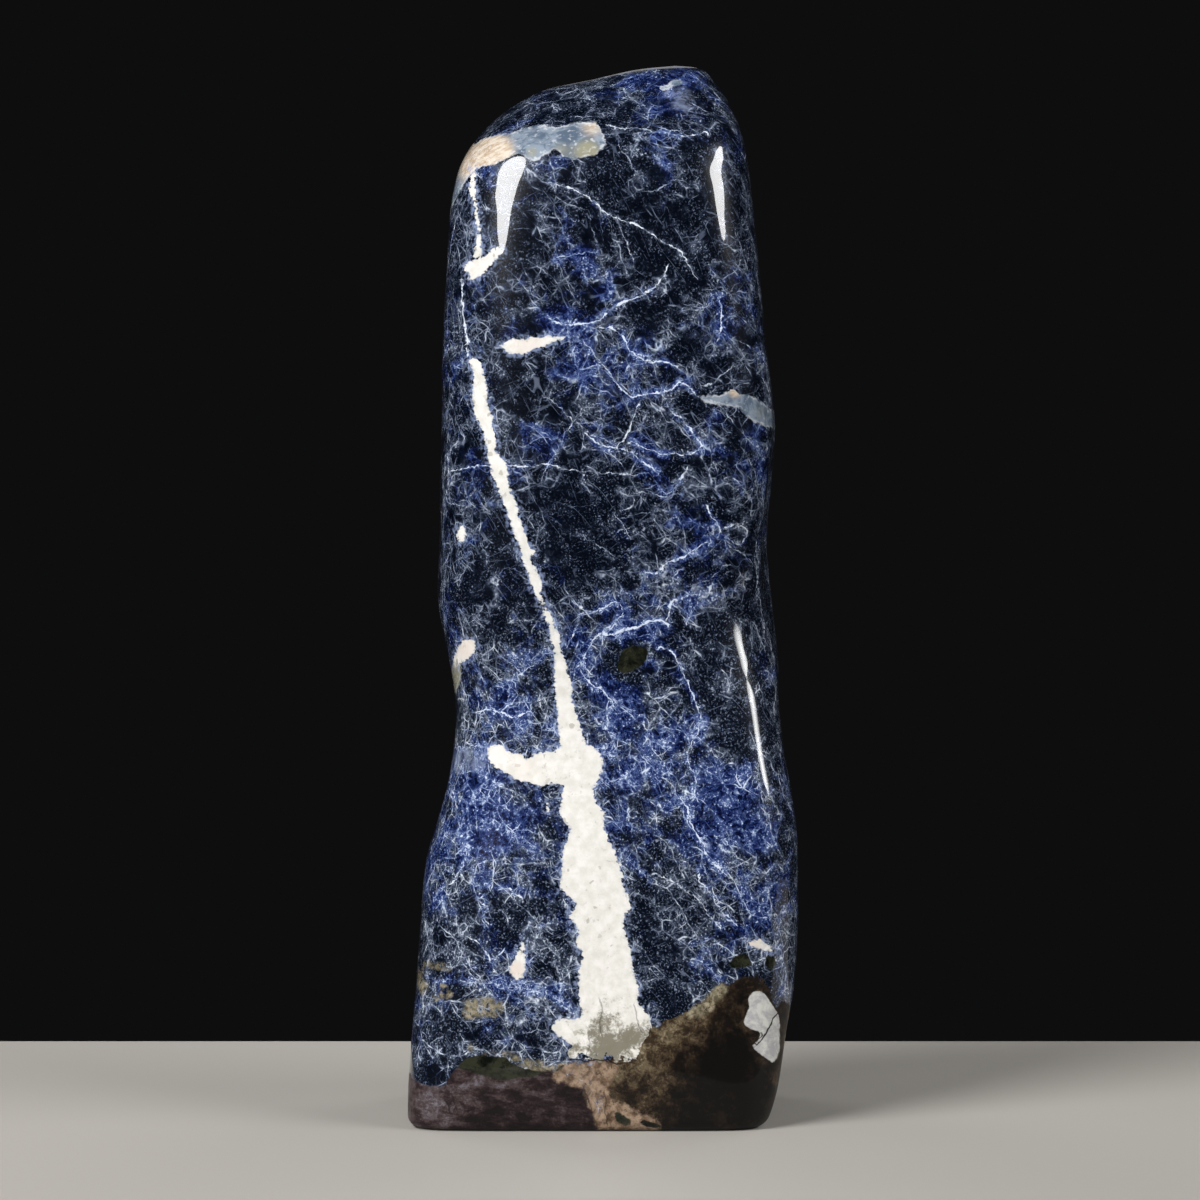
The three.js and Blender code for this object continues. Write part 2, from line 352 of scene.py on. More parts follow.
MATRIX = [
    600,1150, 606,1120, 604,1096, 596,1078, 590,1062, 612,1056, 628,1040, 640,1032, 661,1024,
    680,1016, 690,1012, 698,1002, 709,992, 717,985, 733,983, 741,978, 748,975, 757,977, 766,984,
    772,992, 777,1005, 782,1020, 786,1036, 800,1052, 800,1150,
]
PURPLE_FOOT = [
    409,1090, 419,1087, 444,1086, 450,1076, 458,1066, 480,1068, 520,1071, 545,1068, 560,1072,
    584,1084, 598,1106, 606,1150, 420,1150, 414,1116,
]
TAN_PATH = [
    550,1074, 556,1069, 566,1062, 580,1060, 606,1059, 618,1061, 618,1072, 614,1084, 607,1093,
    614,1099, 628,1105, 645,1113, 664,1123, 668,1150, 598,1150, 594,1122, 590,1109, 586,1099,
    581,1089, 569,1086, 557,1082,
]
CHALK = [
    750,993, 758,989, 765,993, 772,1003, 779,1015, 781,1028, 780,1042, 779,1054, 774,1064, 769,1061,
    761,1055, 751,1047, 757,1040, 761,1033, 753,1031, 743,1025, 744,1019, 749,1010, 748,1001,
]
GREEN_LENS = [
    458,1069, 459,1063, 465,1058, 475,1055, 490,1055, 502,1055, 510,1061, 517,1065, 525,1068,
    535,1071, 545,1072, 556,1070, 566,1063, 570,1058, 567,1064, 562,1069, 550,1075, 535,1077,
    520,1079, 502,1080, 490,1078, 478,1076, 469,1072,
]
DARK_TRIANGLE = [724,967, 737,954, 749,953, 755,966, 740,969]
DARK_OVAL = [770,953, 776,957, 777,965, 772,971, 765,968, 763,959]
BROWN_LENS = [616,664, 620,652, 630,645, 643,645, 649,652, 646,662, 638,669, 626,674, 617,671]
BLACK_LENSES = [
    [613,1112, 619,1111, 623,1116, 632,1120, 630,1126, 618,1124, 614,1119],
    [638,1119, 652,1121, 664,1126, 660,1130, 640,1127],
]

# Ink-dark cells in the blue rock: middle, width and height
DARK_CELLS = [
    (472, 783, 12, 14), (497, 793, 12, 10), (503, 777, 10, 8), (480, 833, 9, 7), (480, 851, 10, 7),
    (537, 834, 9, 8), (586, 237, 9, 8), (658, 731, 8, 9), (649, 669, 18, 12), (670, 667, 20, 14),
    (648, 213, 13, 13), (552, 417, 26, 14), (436, 1074, 20, 24), (458, 1003, 13, 13),
    (443, 937, 16, 12), (470, 1036, 16, 10), (519, 1037, 12, 10), (532, 1043, 10, 10),
]
OLIVE_PATCH = [
    461,999, 472,997, 484,998, 496,1000, 504,1002, 505,1008, 498,1018, 484,1017, 472,1018, 463,1020,
    462,1010,
]
TAN_STREAKS = [
    [424,962, 438,963, 448,966, 458,973, 448,972, 436,970, 425,969],
    [430,997, 440,992, 452,992, 449,998, 438,1001, 432,1004],
    [418,966, 421,978, 428,983, 427,990, 419,994, 416,980],
    [440,983, 447,984, 448,989, 441,989],
    [466,1044, 473,1046, 474,1054, 467,1055],
]
MATRIX_RIM = [
    688,1012, 698,1001, 709,991, 718,984, 726,982, 731,988, 725,996, 718,1003, 711,1014, 700,1018,
    688,1018,
]
LENS_RIM = [
    482,1053, 496,1050, 508,1051, 516,1056, 525,1058, 535,1060, 544,1063, 556,1065, 565,1061,
    568,1056, 571,1058, 566,1065, 556,1071, 545,1073, 535,1072, 525,1069, 517,1066, 510,1062,
    502,1056, 490,1056,
]

# Behind, the white vein, its bar and the band come out again: they are sheets in the rock.
BACK_BAR = [
    612,752, 640,756, 664,744, 678,751, 690,750, 722,742, 740,748, 774,744, 774,780, 746,771,
    724,774, 706,784, 692,779, 676,786, 656,776, 636,790, 612,782,
]
BACK_BLOBS = [
    [506,424, 520,413, 534,415, 556,407, 574,410, 552,420, 540,429, 524,425, 513,434],
    [462,838, 474,824, 480,832, 492,820, 497,831, 488,842, 489,856, 478,850, 468,852],
    [560,232, 582,223, 600,228, 622,221, 612,233, 590,236, 574,243],
]
BACK_BAND = [
    760,206, 742,176, 722,142, 690,140, 664,132, 640,134, 626,142, 646,152, 672,150, 690,160,
    716,168, 736,196, 760,236,
]
BACK_MATRIX = [
    380,1030, 416,1012, 448,1034, 486,1066, 524,1046, 566,1074, 610,1058, 650,1086, 700,1070,
    750,1094, 820,1086, 820,1160, 380,1160,
]
LEFT_MATRIX = [
    400,1092, 440,1076, 490,1090, 540,1072, 590,1094, 640,1078, 700,1090, 800,1092, 800,1160,
    400,1160,
]
RIGHT_MATRIX = [
    440,1030, 490,1006, 530,1038, 580,1060, 620,1026, 670,1044, 780,1030, 780,1160, 440,1160,
]

# Dark cracks: how strong each is, and its route in the front view
CRACKS = [
    (1.0, 778,1011, 772,1022, 766,1034, 757,1045),
    (0.7, 761,1033, 757,1039, 750,1046, 760,1055, 771,1063),
    (0.6, 604,1092, 606,1102, 605,1112, 607,1124),
    (0.9, 481,1091, 485,1099, 490,1109),
    (0.8, 452,1097, 454,1103, 457,1110),
    (0.7, 446,1101, 448,1106, 450,1112),
    (0.9, 569,1059, 585,1061, 607,1060, 616,1064, 624,1063),
    (0.5, 634,1005, 636,1016, 638,1023, 642,1033),
    (0.5, 600,1000, 603,1012, 599,1024, 602,1036),
    (0.4, 586,1056, 590,1044, 588,1034),
    (0.6, 584,1087, 588,1100, 592,1112),
    (0.5, 505,1098, 520,1097, 534,1099, 548,1098),
    (0.5, 498,1112, 516,1110, 532,1112),
]

# The white vein at the back against the front's: mirrored, longer, swaying and thinner
BEHIND_STRETCH = 1.17
BEHIND_RISE = 151
BEHIND_SHIFT = -10
BEHIND_SWAY = 6
BEHIND_SWAY_LENGTH = 47
BEHIND_HALF_WIDTH = 0.40
BEHIND_EXTRA = 1.5


def oval(x, y, width, height):
    """A closed outline of eight points round a middle."""
    turns = [math.radians(45 * k) for k in range(8)]
    return [(x + width / 2 * math.cos(turn), y + height / 2 * math.sin(turn)) for turn in turns]


def strip_outline(rows):
    """A closed outline from rows of a height, a left edge and a right edge."""
    left = [(x, y) for y, x, _ in rows]
    right = [(x, y) for y, _, x in reversed(rows)]
    return left + right


def seen_behind(rows):
    """The rows of the white vein where its sheet comes out at the back."""
    moved = []
    for y, left, right in rows:
        sway = BEHIND_SHIFT + BEHIND_SWAY * math.sin(y / BEHIND_SWAY_LENGTH)
        middle = PICTURE - (left + right) / 2 + sway
        half = BEHIND_HALF_WIDTH * (right - left) + BEHIND_EXTRA
        moved.append((BEHIND_STRETCH * y - BEHIND_RISE, middle - half, middle + half))
    return moved


# Each outline: the layer it belongs to, the view it is drawn in, and how many millimetres
# it runs back into the stone before it fades
SHAPES = [
    ("vein", FRONT, 30, VEIN_FOOT),
    ("vein", FRONT, 40, CROSS_BAR),
    ("vein", FRONT, 20, ARROW_BLOB),
    ("vein", FRONT, 14, LENS_BLOB),
    ("vein", FRONT, 14, OVAL_BLOB),
    ("vein", FRONT, 18, CREAM_BLOB),
    ("vein", FRONT, 14, SMALL_MARK),
    ("vein", FRONT, 14, BOWLING_PIN),
    ("vein", FRONT, 24, PINK_MARKS),
    ("vein", BACK, 40, BACK_BAR),
    ("band", FRONT, 60, SHOULDER_BAND),
    ("band", FRONT, 34, RIGHT_PATCH),
    ("veil", FRONT, 60, BAR_END),
    ("veil", FRONT, 14, PEAK_HAZE),
    ("band", FRONT, 10, PEAK_STREAK),
    ("band", FRONT, 50, CREAM_TAIL),
    ("band", BACK, 60, BACK_BAND),
    ("matrix", FRONT, 40, MATRIX),
    ("matrix", BACK, 40, BACK_MATRIX),
    ("matrix", RIGHT, 40, RIGHT_MATRIX),
    ("purple", FRONT, 40, PURPLE_FOOT),
    ("purple", LEFT, 40, LEFT_MATRIX),
    ("path", FRONT, 20, TAN_PATH),
    ("chalk", FRONT, 40, CHALK),
    ("lens", FRONT, 20, GREEN_LENS),
    ("lens", FRONT, 20, DARK_TRIANGLE),
    ("lens", FRONT, 30, DARK_OVAL),
    ("lens", FRONT, 14, BROWN_LENS),
    ("tan", FRONT, 20, OLIVE_PATCH),
    ("tan", FRONT, 20, MATRIX_RIM),
    ("tan", FRONT, 20, LENS_RIM),
]
SHAPES += [("vein", FRONT, 16, strip_outline(rows)) for rows in (MAIN_VEIN, ARROW_STEM)]
SHAPES += [("vein", BACK, 20, strip_outline(seen_behind(MAIN_VEIN)))]
SHAPES += [("vein", BACK, 14, blob) for blob in BACK_BLOBS]
SHAPES += [("lens", FRONT, 14, blob) for blob in BLACK_LENSES]
SHAPES += [("ink", FRONT, 14, oval(*cell)) for cell in DARK_CELLS]
SHAPES += [("tan", FRONT, 30, streak) for streak in TAN_STREAKS]

# Thin veins: how white the line is, how strong the blue glow beside it is, and its route
TRACES = [
    (1.0, 0.5, 606,124, 627,130, 643,127, 660,134, 698,136, 704,131, 709,136),
    (0.7, 0.4, 643,127, 656,143, 673,141, 681,145),
    (0.8, 0.5, 615,130, 618,145, 632,165, 647,187),
    (0.7, 0.4, 626,152, 636,142, 642,133, 658,153, 677,168),
    (0.4, 0.8, 637,147, 653,158, 676,170),
    (0.8, 0.3, 636,191, 660,192, 672,178, 685,180, 692,186, 699,182),
    (0.6, 0.6, 672,178, 690,168, 699,173),
    (0.5, 0.3, 666,193, 664,213, 653,222),
    (0.6, 0.3, 667,207, 680,233, 687,244, 701,242),
    (0.5, 0.3, 688,255, 693,250, 705,243),
    (1.1, 0.8, 548,181, 578,191, 590,198, 603,211, 615,217, 642,227, 660,240, 680,250, 698,278),
    (0.6, 0.4, 683,252, 688,262, 702,278),
    (0.9, 0.5, 616,217, 620,228, 627,240, 632,262),
    (0.6, 0.4, 592,199, 602,213, 600,220, 603,240),
    (0.7, 0.4, 588,213, 594,235, 600,249),
    (0.6, 0.3, 607,218, 610,228, 618,243),
    (0.9, 0.6, 552,260, 570,255, 595,252, 600,249),
    (0.6, 0.6, 560,232, 575,247, 602,269),
    (0.6, 0.5, 586,264, 595,272, 603,281),
    (0.6, 0.6, 612,270, 618,263, 625,268, 627,277, 615,275),
    (0.5, 0.9, 608,270, 613,288, 607,303),
    (0.4, 0.8, 560,207, 577,222, 585,227),
    (0.4, 0.2, 593,153, 618,170, 633,182),
    (0.5, 0.3, 621,201, 625,210, 632,220),
    (0.5, 0.5, 702,262, 710,265, 721,283),
    (0.5, 0.3, 652,288, 660,280, 677,277),
    (0.5, 0.5, 459,200, 470,218, 468,237),
    (0.6, 0.3, 492,212, 518,203, 540,190, 548,184),
    (0.6, 0.3, 482,237, 495,235, 502,230, 520,229, 547,226),
    (0.8, 0.4, 537,208, 542,218, 557,243),
    (0.7, 0.3, 536,238, 547,245, 558,260, 570,278),
    (0.6, 0.3, 540,217, 550,205),
    (1.3, 0.4, 462,279, 463,290, 463,306, 465,320, 467,335, 467,356),
    (0.7, 0.3, 453,366, 462,363, 470,363),
    (0.6, 0.3, 452,302, 451,312, 457,314),
    (0.6, 0.3, 465,283, 475,288, 483,290),
    (0.8, 0.5, 520,282, 527,292, 549,304),
    (0.5, 0.7, 533,300, 545,316, 557,323),
    (0.5, 0.3, 560,283, 567,295, 572,308, 587,322),
    (1.2, 0.9, 545,316, 557,323, 578,326, 596,321, 606,313, 620,304, 642,297, 657,287, 669,266),
    (0.7, 0.6, 557,333, 585,332, 596,328),
    (1.0, 0.5, 582,340, 600,358, 612,377, 618,387, 632,397),
    (1.2, 1.0, 600,326, 617,328, 625,338, 628,350, 640,359, 663,363, 680,366),
    (0.6, 0.6, 680,370, 693,383, 698,388),
    (0.9, 0.4, 631,362, 627,368, 626,374, 618,378),
    (1.1, 1.0, 632,397, 643,394, 672,390, 682,381, 700,396),
    (0.8, 0.5, 632,398, 627,404, 600,410, 585,416),
    (1.1, 0.4, 640,402, 636,415, 628,432, 615,450),
    (1.1, 1.0, 667,403, 679,418, 698,438, 702,447, 693,454, 672,455, 650,451, 628,441),
    (0.7, 0.6, 697,430, 708,419, 713,415, 723,413),
    (0.6, 0.6, 708,420, 707,437, 704,452),
    (0.9, 0.3, 700,385, 710,384, 727,371, 733,364),
    (0.8, 0.5, 717,293, 709,305, 702,312, 695,310, 668,306),
    (0.6, 0.3, 697,311, 692,317, 690,322),
    (0.6, 0.3, 702,313, 704,319, 703,327),
    (0.5, 0.3, 663,313, 675,323, 682,326),
    (1.2, 0.8, 718,293, 720,310, 721,328, 717,342),
    (0.9, 0.3, 722,333, 733,340, 742,342, 758,354, 767,359),
    (0.9, 1.0, 755,347, 765,360, 768,372, 769,403),
    (0.6, 0.5, 728,308, 733,320, 757,334),
    (0.6, 0.5, 745,190, 752,232, 752,296, 755,338),
    (0.7, 0.2, 710,442, 717,448, 725,452),
    (0.7, 0.2, 713,455, 718,447, 721,438),
    (0.8, 0.8, 755,434, 758,448, 760,458, 762,472),
    (0.7, 0.6, 767,443, 760,458),
    (0.7, 0.5, 549,377, 550,387, 538,398, 536,417),
    (0.9, 0.5, 542,397, 553,401, 573,421),
    (0.7, 0.4, 553,399, 565,392, 572,385),
    (0.5, 0.5, 492,407, 502,400, 519,383),
    (0.5, 0.3, 520,388, 528,382, 534,367),
    (0.4, 0.3, 453,387, 468,403),
    (0.5, 0.3, 547,352, 574,371),
    (0.6, 0.9, 575,348, 578,370, 586,396),
    (0.9, 0.8, 579,370, 590,367, 602,362),
    (0.9, 0.6, 573,421, 585,410, 603,402),
    (0.8, 0.7, 575,423, 590,422, 600,428),
    (0.9, 0.8, 573,422, 568,432, 557,448, 548,462, 541,483),
    (0.6, 0.6, 502,418, 535,425, 555,439),
    (0.6, 0.2, 522,447, 533,446, 539,454),
    (1.0, 0.3, 450,472, 465,468, 490,466, 527,466, 547,464, 572,470, 603,471, 620,474, 648,474),
    (0.8, 0.3, 508,467, 522,476, 532,478),
    (0.5, 0.9, 583,472, 581,483, 584,491),
    (0.6, 0.4, 570,508, 590,505, 600,503),
    (0.6, 0.4, 547,513, 561,528),
    (0.8, 0.7, 577,532, 592,542, 617,557),
    (0.5, 0.5, 468,497, 478,497, 495,505),
    (0.6, 0.3, 482,572, 488,569, 498,560),
    (0.6, 0.3, 495,585, 502,572, 508,567, 520,572),
    (0.5, 0.3, 537,567, 543,565, 553,568),
    (0.6, 0.3, 633,483, 657,486),
    (0.9, 0.3, 630,487, 633,492, 667,498),
    (1.0, 0.6, 655,481, 667,497, 678,485, 688,467),
    (0.7, 0.3, 667,497, 657,507, 650,522, 642,520),
    (0.6, 0.3, 675,483, 697,484),
    (0.7, 0.4, 670,493, 690,497, 704,496),
    (1.1, 0.9, 585,432, 593,442, 612,448, 630,450, 648,465, 658,473),
    (0.9, 0.8, 588,436, 604,436, 618,448),
    (0.9, 0.4, 631,492, 636,503, 622,512),
    (1.0, 0.9, 615,513, 625,525, 630,538),
    (0.8, 0.5, 614,537, 625,528, 634,525),
    (0.7, 0.5, 620,518, 640,513, 653,513),
    (0.6, 0.9, 621,488, 622,513),
    (0.9, 0.2, 652,527, 655,533),
    (0.7, 0.8, 660,526, 674,525),
    (0.7, 0.6, 620,550, 630,552, 638,547),
    (0.6, 0.7, 630,553, 628,560, 636,573),
    (1.2, 1.0, 712,540, 707,540, 690,552, 665,565, 657,573, 642,573),
    (0.9, 0.4, 672,587, 673,580, 685,568),
    (0.8, 0.4, 688,588, 698,582, 710,580, 718,568, 732,566),
    (0.7, 0.4, 707,581, 717,578, 738,568),
    (1.2, 1.0, 707,505, 713,518, 722,530, 719,537),
    (1.1, 1.0, 722,533, 733,540, 740,546, 748,535, 746,526, 734,526, 725,528),
    (0.9, 0.4, 728,545, 738,550, 755,566),
    (0.9, 0.3, 733,478, 747,493, 749,500),
    (0.8, 0.3, 736,497, 745,492, 754,488),
    (0.9, 0.6, 757,540, 757,567, 760,603, 767,645),
    (0.6, 0.5, 767,500, 767,547, 768,582),
    (0.6, 0.4, 757,412, 760,473, 761,507, 757,540),
    (1.1, 0.9, 600,612, 615,600, 620,602, 625,612, 608,632),
    (0.7, 0.5, 594,594, 610,596, 615,600),
    (0.8, 0.4, 620,587, 624,598),
    (0.6, 0.4, 629,600, 636,592, 642,588),
    (1.5, 1.0, 603,634, 613,634, 625,630, 638,628, 645,623, 655,619, 665,621, 668,626),
    (1.2, 0.7, 665,621, 671,601, 680,600, 693,594, 707,597, 712,583),
    (1.1, 1.0, 688,597, 691,603, 688,608, 692,616, 687,625),
    (0.5, 1.0, 693,607, 703,602, 733,592, 744,586),
    (0.8, 0.4, 640,617, 650,611, 660,597),
    (0.5, 0.5, 518,605, 512,618),
    (0.7, 0.4, 443,615, 448,630),
    (0.7, 0.2, 517,650, 525,654, 530,652),
    (0.8, 0.5, 498,643, 512,656, 528,673, 543,681),
    (1.0, 0.7, 553,654, 542,654, 535,663, 517,676, 505,682),
    (0.7, 0.4, 488,646, 503,663, 509,675),
    (0.9, 0.5, 499,681, 503,688, 508,683, 509,697, 508,712),
    (0.8, 0.5, 472,658, 473,665, 484,677, 485,684),
    (0.7, 0.3, 478,668, 490,667),
    (0.6, 0.4, 460,693, 473,707, 482,705),
    (1.2, 0.9, 478,713, 485,709, 507,713, 517,718, 530,712),
    (0.9, 0.6, 517,718, 515,723, 523,732),
    (1.0, 0.7, 540,693, 540,707, 548,718, 547,723, 558,735),
    (1.0, 0.5, 567,648, 577,630, 577,622, 579,614, 584,612),
    (1.0, 0.6, 572,600, 583,609, 593,612, 602,609),
    (1.1, 0.9, 602,632, 592,642, 580,663, 582,677, 597,687, 610,698, 617,710),
    (0.7, 0.6, 587,657, 592,667),
    (0.7, 0.8, 627,700, 632,710, 643,717),
    (0.7, 0.4, 640,638, 650,633, 657,647),
    (0.5, 0.3, 668,632, 677,632, 682,645),
    (1.1, 0.7, 657,650, 670,648, 676,657, 685,682, 702,711, 700,724, 692,745, 688,752, 689,767,
     698,780, 694,790, 699,803),
    (0.8, 0.8, 702,711, 703,737, 692,748),
    (0.8, 0.5, 688,752, 682,753, 669,767, 667,773),
    (0.9, 0.4, 659,769, 648,771, 657,780, 665,785),
    (0.6, 0.2, 662,677, 680,669),
    (0.5, 0.8, 656,660, 658,680),
    (0.6, 0.6, 640,667, 653,659),
    (0.9, 0.7, 590,752, 602,750, 617,735),
    (0.8, 0.7, 605,775, 613,782, 630,784, 635,789),
    (0.7, 0.5, 628,782, 629,773, 638,767),
    (0.8, 0.8, 648,752, 657,743, 665,738),
    (1.0, 0.5, 450,788, 459,812, 465,840, 465,860, 455,883, 440,888),
    (0.8, 0.3, 440,878, 448,865, 457,877),
    (0.7, 0.4, 467,860, 473,877),
    (0.9, 0.4, 498,782, 488,790, 479,793, 472,789),
    (0.8, 0.3, 480,793, 486,800),
    (0.5, 0.5, 468,810, 478,807, 485,802),
    (0.6, 0.6, 518,833, 530,850, 538,848),
    (1.2, 0.3, 508,887, 513,892, 522,898),
    (0.8, 0.7, 480,877, 493,887, 507,888),
    (1.0, 0.7, 484,894, 478,900, 485,907, 480,918, 488,928),
    (0.6, 0.4, 480,918, 467,927),
    (0.6, 0.6, 520,892, 540,895, 560,892),
    (1.1, 0.8, 680,797, 688,812, 692,828, 701,843, 703,853, 713,865, 727,875),
    (0.8, 0.8, 617,852, 623,853, 632,867, 652,882),
    (1.0, 0.5, 647,878, 660,873, 680,888, 698,899, 707,912, 722,930),
    (0.7, 0.5, 657,862, 660,873),
    (1.2, 0.6, 698,868, 701,875, 697,880, 712,893, 718,908, 738,925),
    (0.7, 0.5, 667,858, 688,865, 693,870),
    (0.6, 1.0, 740,872, 745,878, 743,885, 752,903),
    (0.8, 0.5, 732,891, 742,895, 744,918, 747,942),
    (0.7, 0.4, 624,887, 640,895, 650,897),
    (0.6, 0.4, 658,904, 683,910),
    (0.6, 0.7, 757,907, 775,937),
    (0.7, 0.8, 790,908, 783,913, 778,930, 784,996),
    (0.9, 0.2, 758,750, 760,785, 763,805, 775,847, 782,857),
    (0.7, 0.8, 759,825, 753,830, 749,838, 750,852),
    (0.5, 0.3, 717,819, 725,823, 733,831),
    (0.8, 0.6, 690,960, 704,962, 712,972, 722,980),
    (1.1, 0.6, 467,935, 483,948, 490,962, 500,977, 507,979),
    (0.6, 0.3, 461,933, 467,962, 462,978),
    (0.5, 0.2, 440,950, 452,939),
    (0.6, 0.4, 473,940, 482,933, 490,928),
    (0.8, 0.7, 427,975, 443,982, 452,980),
    (0.9, 1.0, 460,980, 480,983, 503,985, 523,992, 543,992, 577,1013),
    (0.7, 0.8, 518,982, 537,987, 557,998),
    (0.7, 0.4, 488,993, 501,1001, 510,993),
    (0.9, 0.3, 460,1033, 467,1047),
    (0.8, 0.2, 427,1048, 432,1041, 438,1037),
    (0.6, 0.3, 507,1048, 513,1033),
    (0.6, 0.4, 480,1018, 488,1033),
    (0.9, 0.6, 538,928, 542,935, 558,952),
    (0.8, 0.3, 557,937, 572,931),
    (0.8, 0.3, 530,967, 532,960, 540,957),
    (0.6, 0.6, 517,942, 527,928, 530,918),
    (0.8, 0.3, 527,1015, 542,1012),
    (0.8, 0.3, 530,1022, 544,1017),
    (0.9, 1.0, 555,961, 558,971, 560,982, 560,997),
    (0.9, 1.0, 550,971, 554,979, 557,990),
    (0.9, 1.0, 561,972, 564,982, 562,991),
    (1.0, 0.6, 450,749, 462,747, 476,746, 498,749),
]

# Cloudy blue zones, calm dark zones and zones with a dense web: x, y, radius, strength
BLUE_ZONES = [
    (640, 88, 44, 0.7), (680, 74, 26, 0.9), (488, 170, 14, 1.0), (540, 170, 16, 1.0),
    (566, 164, 12, 0.8), (666, 172, 22, 0.7), (590, 258, 26, 0.7), (608, 288, 14, 0.9),
    (560, 326, 26, 0.8), (590, 350, 26, 0.8), (625, 340, 26, 0.7), (640, 372, 36, 0.5),
    (600, 400, 40, 0.5), (650, 440, 44, 0.5), (720, 540, 34, 1.0), (700, 600, 30, 0.9),
    (620, 620, 34, 0.8), (745, 470, 24, 0.5), (560, 570, 36, 0.4), (480, 480, 26, 0.5),
    (520, 660, 34, 0.6), (600, 690, 48, 0.9), (660, 700, 50, 0.8), (620, 770, 50, 0.8),
    (700, 780, 60, 0.9), (740, 820, 50, 0.9), (650, 830, 50, 0.6), (500, 810, 56, 1.0),
    (450, 840, 34, 1.0), (520, 850, 46, 0.8), (470, 770, 22, 1.0), (440, 900, 26, 0.6),
    (520, 960, 30, 0.4), (480, 990, 40, 0.5), (700, 960, 34, 0.7), (770, 900, 40, 0.8),
    (780, 800, 40, 0.7), (416, 1100, 16, 0.9), (440, 1000, 24, 0.7), (505, 700, 30, 0.9),
    (745, 300, 26, 0.6), (725, 150, 26, 0.7), (450, 380, 18, 0.6), (600, 870, 20, 0.3),
    (640, 540, 40, 0.4), (545, 430, 22, 0.3), (690, 300, 30, 0.4), (470, 320, 22, 0.4),
]
CALM_ZONES = [
    (680, 220, 60, 1.0), (620, 170, 40, 0.8), (560, 225, 34, 0.6), (520, 300, 22, 0.5),
    (540, 400, 22, 1.0), (490, 318, 14, 0.7), (524, 405, 18, 0.9), (480, 200, 22, 0.7),
    (632, 656, 22, 1.0), (660, 668, 18, 1.0), (660, 260, 26, 1.0), (600, 490, 40, 0.8),
    (560, 540, 50, 0.9), (640, 540, 44, 0.7), (690, 640, 40, 0.5), (740, 620, 34, 0.9),
    (745, 720, 34, 1.3), (500, 620, 26, 0.6), (460, 590, 20, 0.5), (480, 920, 34, 0.5),
    (540, 930, 30, 0.4), (455, 945, 18, 0.6), (430, 1070, 18, 0.8), (680, 920, 40, 0.8),
    (660, 880, 24, 0.6), (650, 985, 30, 0.7), (460, 1040, 26, 0.9), (690, 355, 20, 0.9),
    (620, 265, 20, 0.5), (470, 440, 14, 0.4), (650, 800, 20, 0.6), (560, 860, 10, 0.5),
    (775, 560, 40, 1.0), (700, 160, 20, 0.4), (600, 310, 12, 0.3), (490, 560, 30, 0.6),
    (730, 430, 16, 0.5),
]
WEB_ZONES = [
    (650, 440, 40, 0.5), (600, 400, 30, 0.2), (580, 250, 50, 0.1), (620, 330, 30, 0.2),
    (720, 440, 30, 0.7), (745, 490, 24, 0.8), (660, 590, 46, 1.0), (600, 630, 40, 0.7),
    (500, 700, 40, 0.9), (650, 750, 60, 0.6), (690, 880, 60, 0.7), (690, 790, 60, 0.6),
    (640, 612, 36, 0.5), (500, 940, 60, 0.5), (560, 440, 30, 0.7), (480, 860, 50, 0.5),
    (520, 1030, 60, 0.8), (720, 940, 40, 0.6), (460, 540, 30, 0.5), (540, 300, 40, 0.1),
    (650, 520, 30, 0.6), (480, 360, 20, 0.4),
]
# The zones and all spots are whole down to this depth in the stone, and gone at twice that
ZONE_DEPTH = 34.0

# Where the white veins and the band are pink or cream, and where they are stained olive:
# x, y, radius, strength
WARM_SPOTS = [
    (475, 158, 26, 1.0), (500, 150, 16, 0.7), (592, 126, 14, 0.6), (530, 345, 30, 0.6),
    (466, 648, 16, 0.8), (524, 766, 26, 0.5), (516, 970, 10, 1.0), (735, 391, 8, 0.8),
    (750, 943, 14, 0.9), (618, 1045, 30, 0.3),
]
OLIVE_SPOTS = [
    (588, 152, 14, 1.0), (560, 150, 12, 0.5), (532, 152, 8, 0.6), (456, 680, 18, 1.0),
    (594, 1030, 12, 0.7), (760, 412, 12, 0.4), (622, 1043, 16, 1.0), (598, 1050, 14, 0.6),
    (610, 1014, 18, 0.35), (642, 1032, 12, 0.7), (574, 1050, 10, 0.6), (606, 1062, 20, 0.6),
]

# How much paler or, below zero, darker the foot is, mostly its own mottling with one painted sheen:
# x, y, radius, strength
FOOT_TONE_AND_SHEEN = [
    (704, 1006, 14, 0.7), (720, 990, 9, 0.5), (672, 1026, 16, 0.55), (650, 1042, 18, 0.6),
    (634, 1058, 16, 0.5), (690, 1032, 16, 0.35), (614, 1076, 12, 0.4), (656, 1078, 20, 0.25),
    (640, 1100, 18, 0.2), (762, 984, 9, 0.3), (739, 1046, 12, -0.4), (728, 1062, 24, -0.8),
    (706, 1080, 24, -0.6), (755, 1082, 18, -0.5), (690, 1122, 24, -0.6), (744, 1112, 28, -0.7),
    (728, 1008, 7, -0.4), (738, 1000, 7, -0.5), (756, 1076, 7, 0.4), (778, 1080, 6, 0.5),
    # The strong pale spot at the left edge of the foot, at 432, 1098, is a painted sheen, not a
    # paler stone.
    (432, 1098, 14, 0.9), (466, 1095, 14, 0.55), (476, 1080, 10, 0.3), (506, 1088, 14, 0.25),
    (545, 1104, 14, 0.2), (560, 1090, 10, -0.1), (520, 1100, 14, -0.2), (470, 1124, 30, -0.35),
    (530, 1126, 30, -0.4), (580, 1122, 20, -0.3), (448, 1122, 12, 0.35), (586, 1096, 8, -0.4),
]

# How often the corners of traces and of outlines are cut to round them, and how far along a
# side each cut starts
CORNER_CUTS = 2
OUTLINE_CUTS = 1
CUT_SHARE = 0.25
# Patches: how fast they fade past their reach into the stone, and the greatest depth kept
DEPTH_SLOPE = 0.8
LIMIT = 20.0
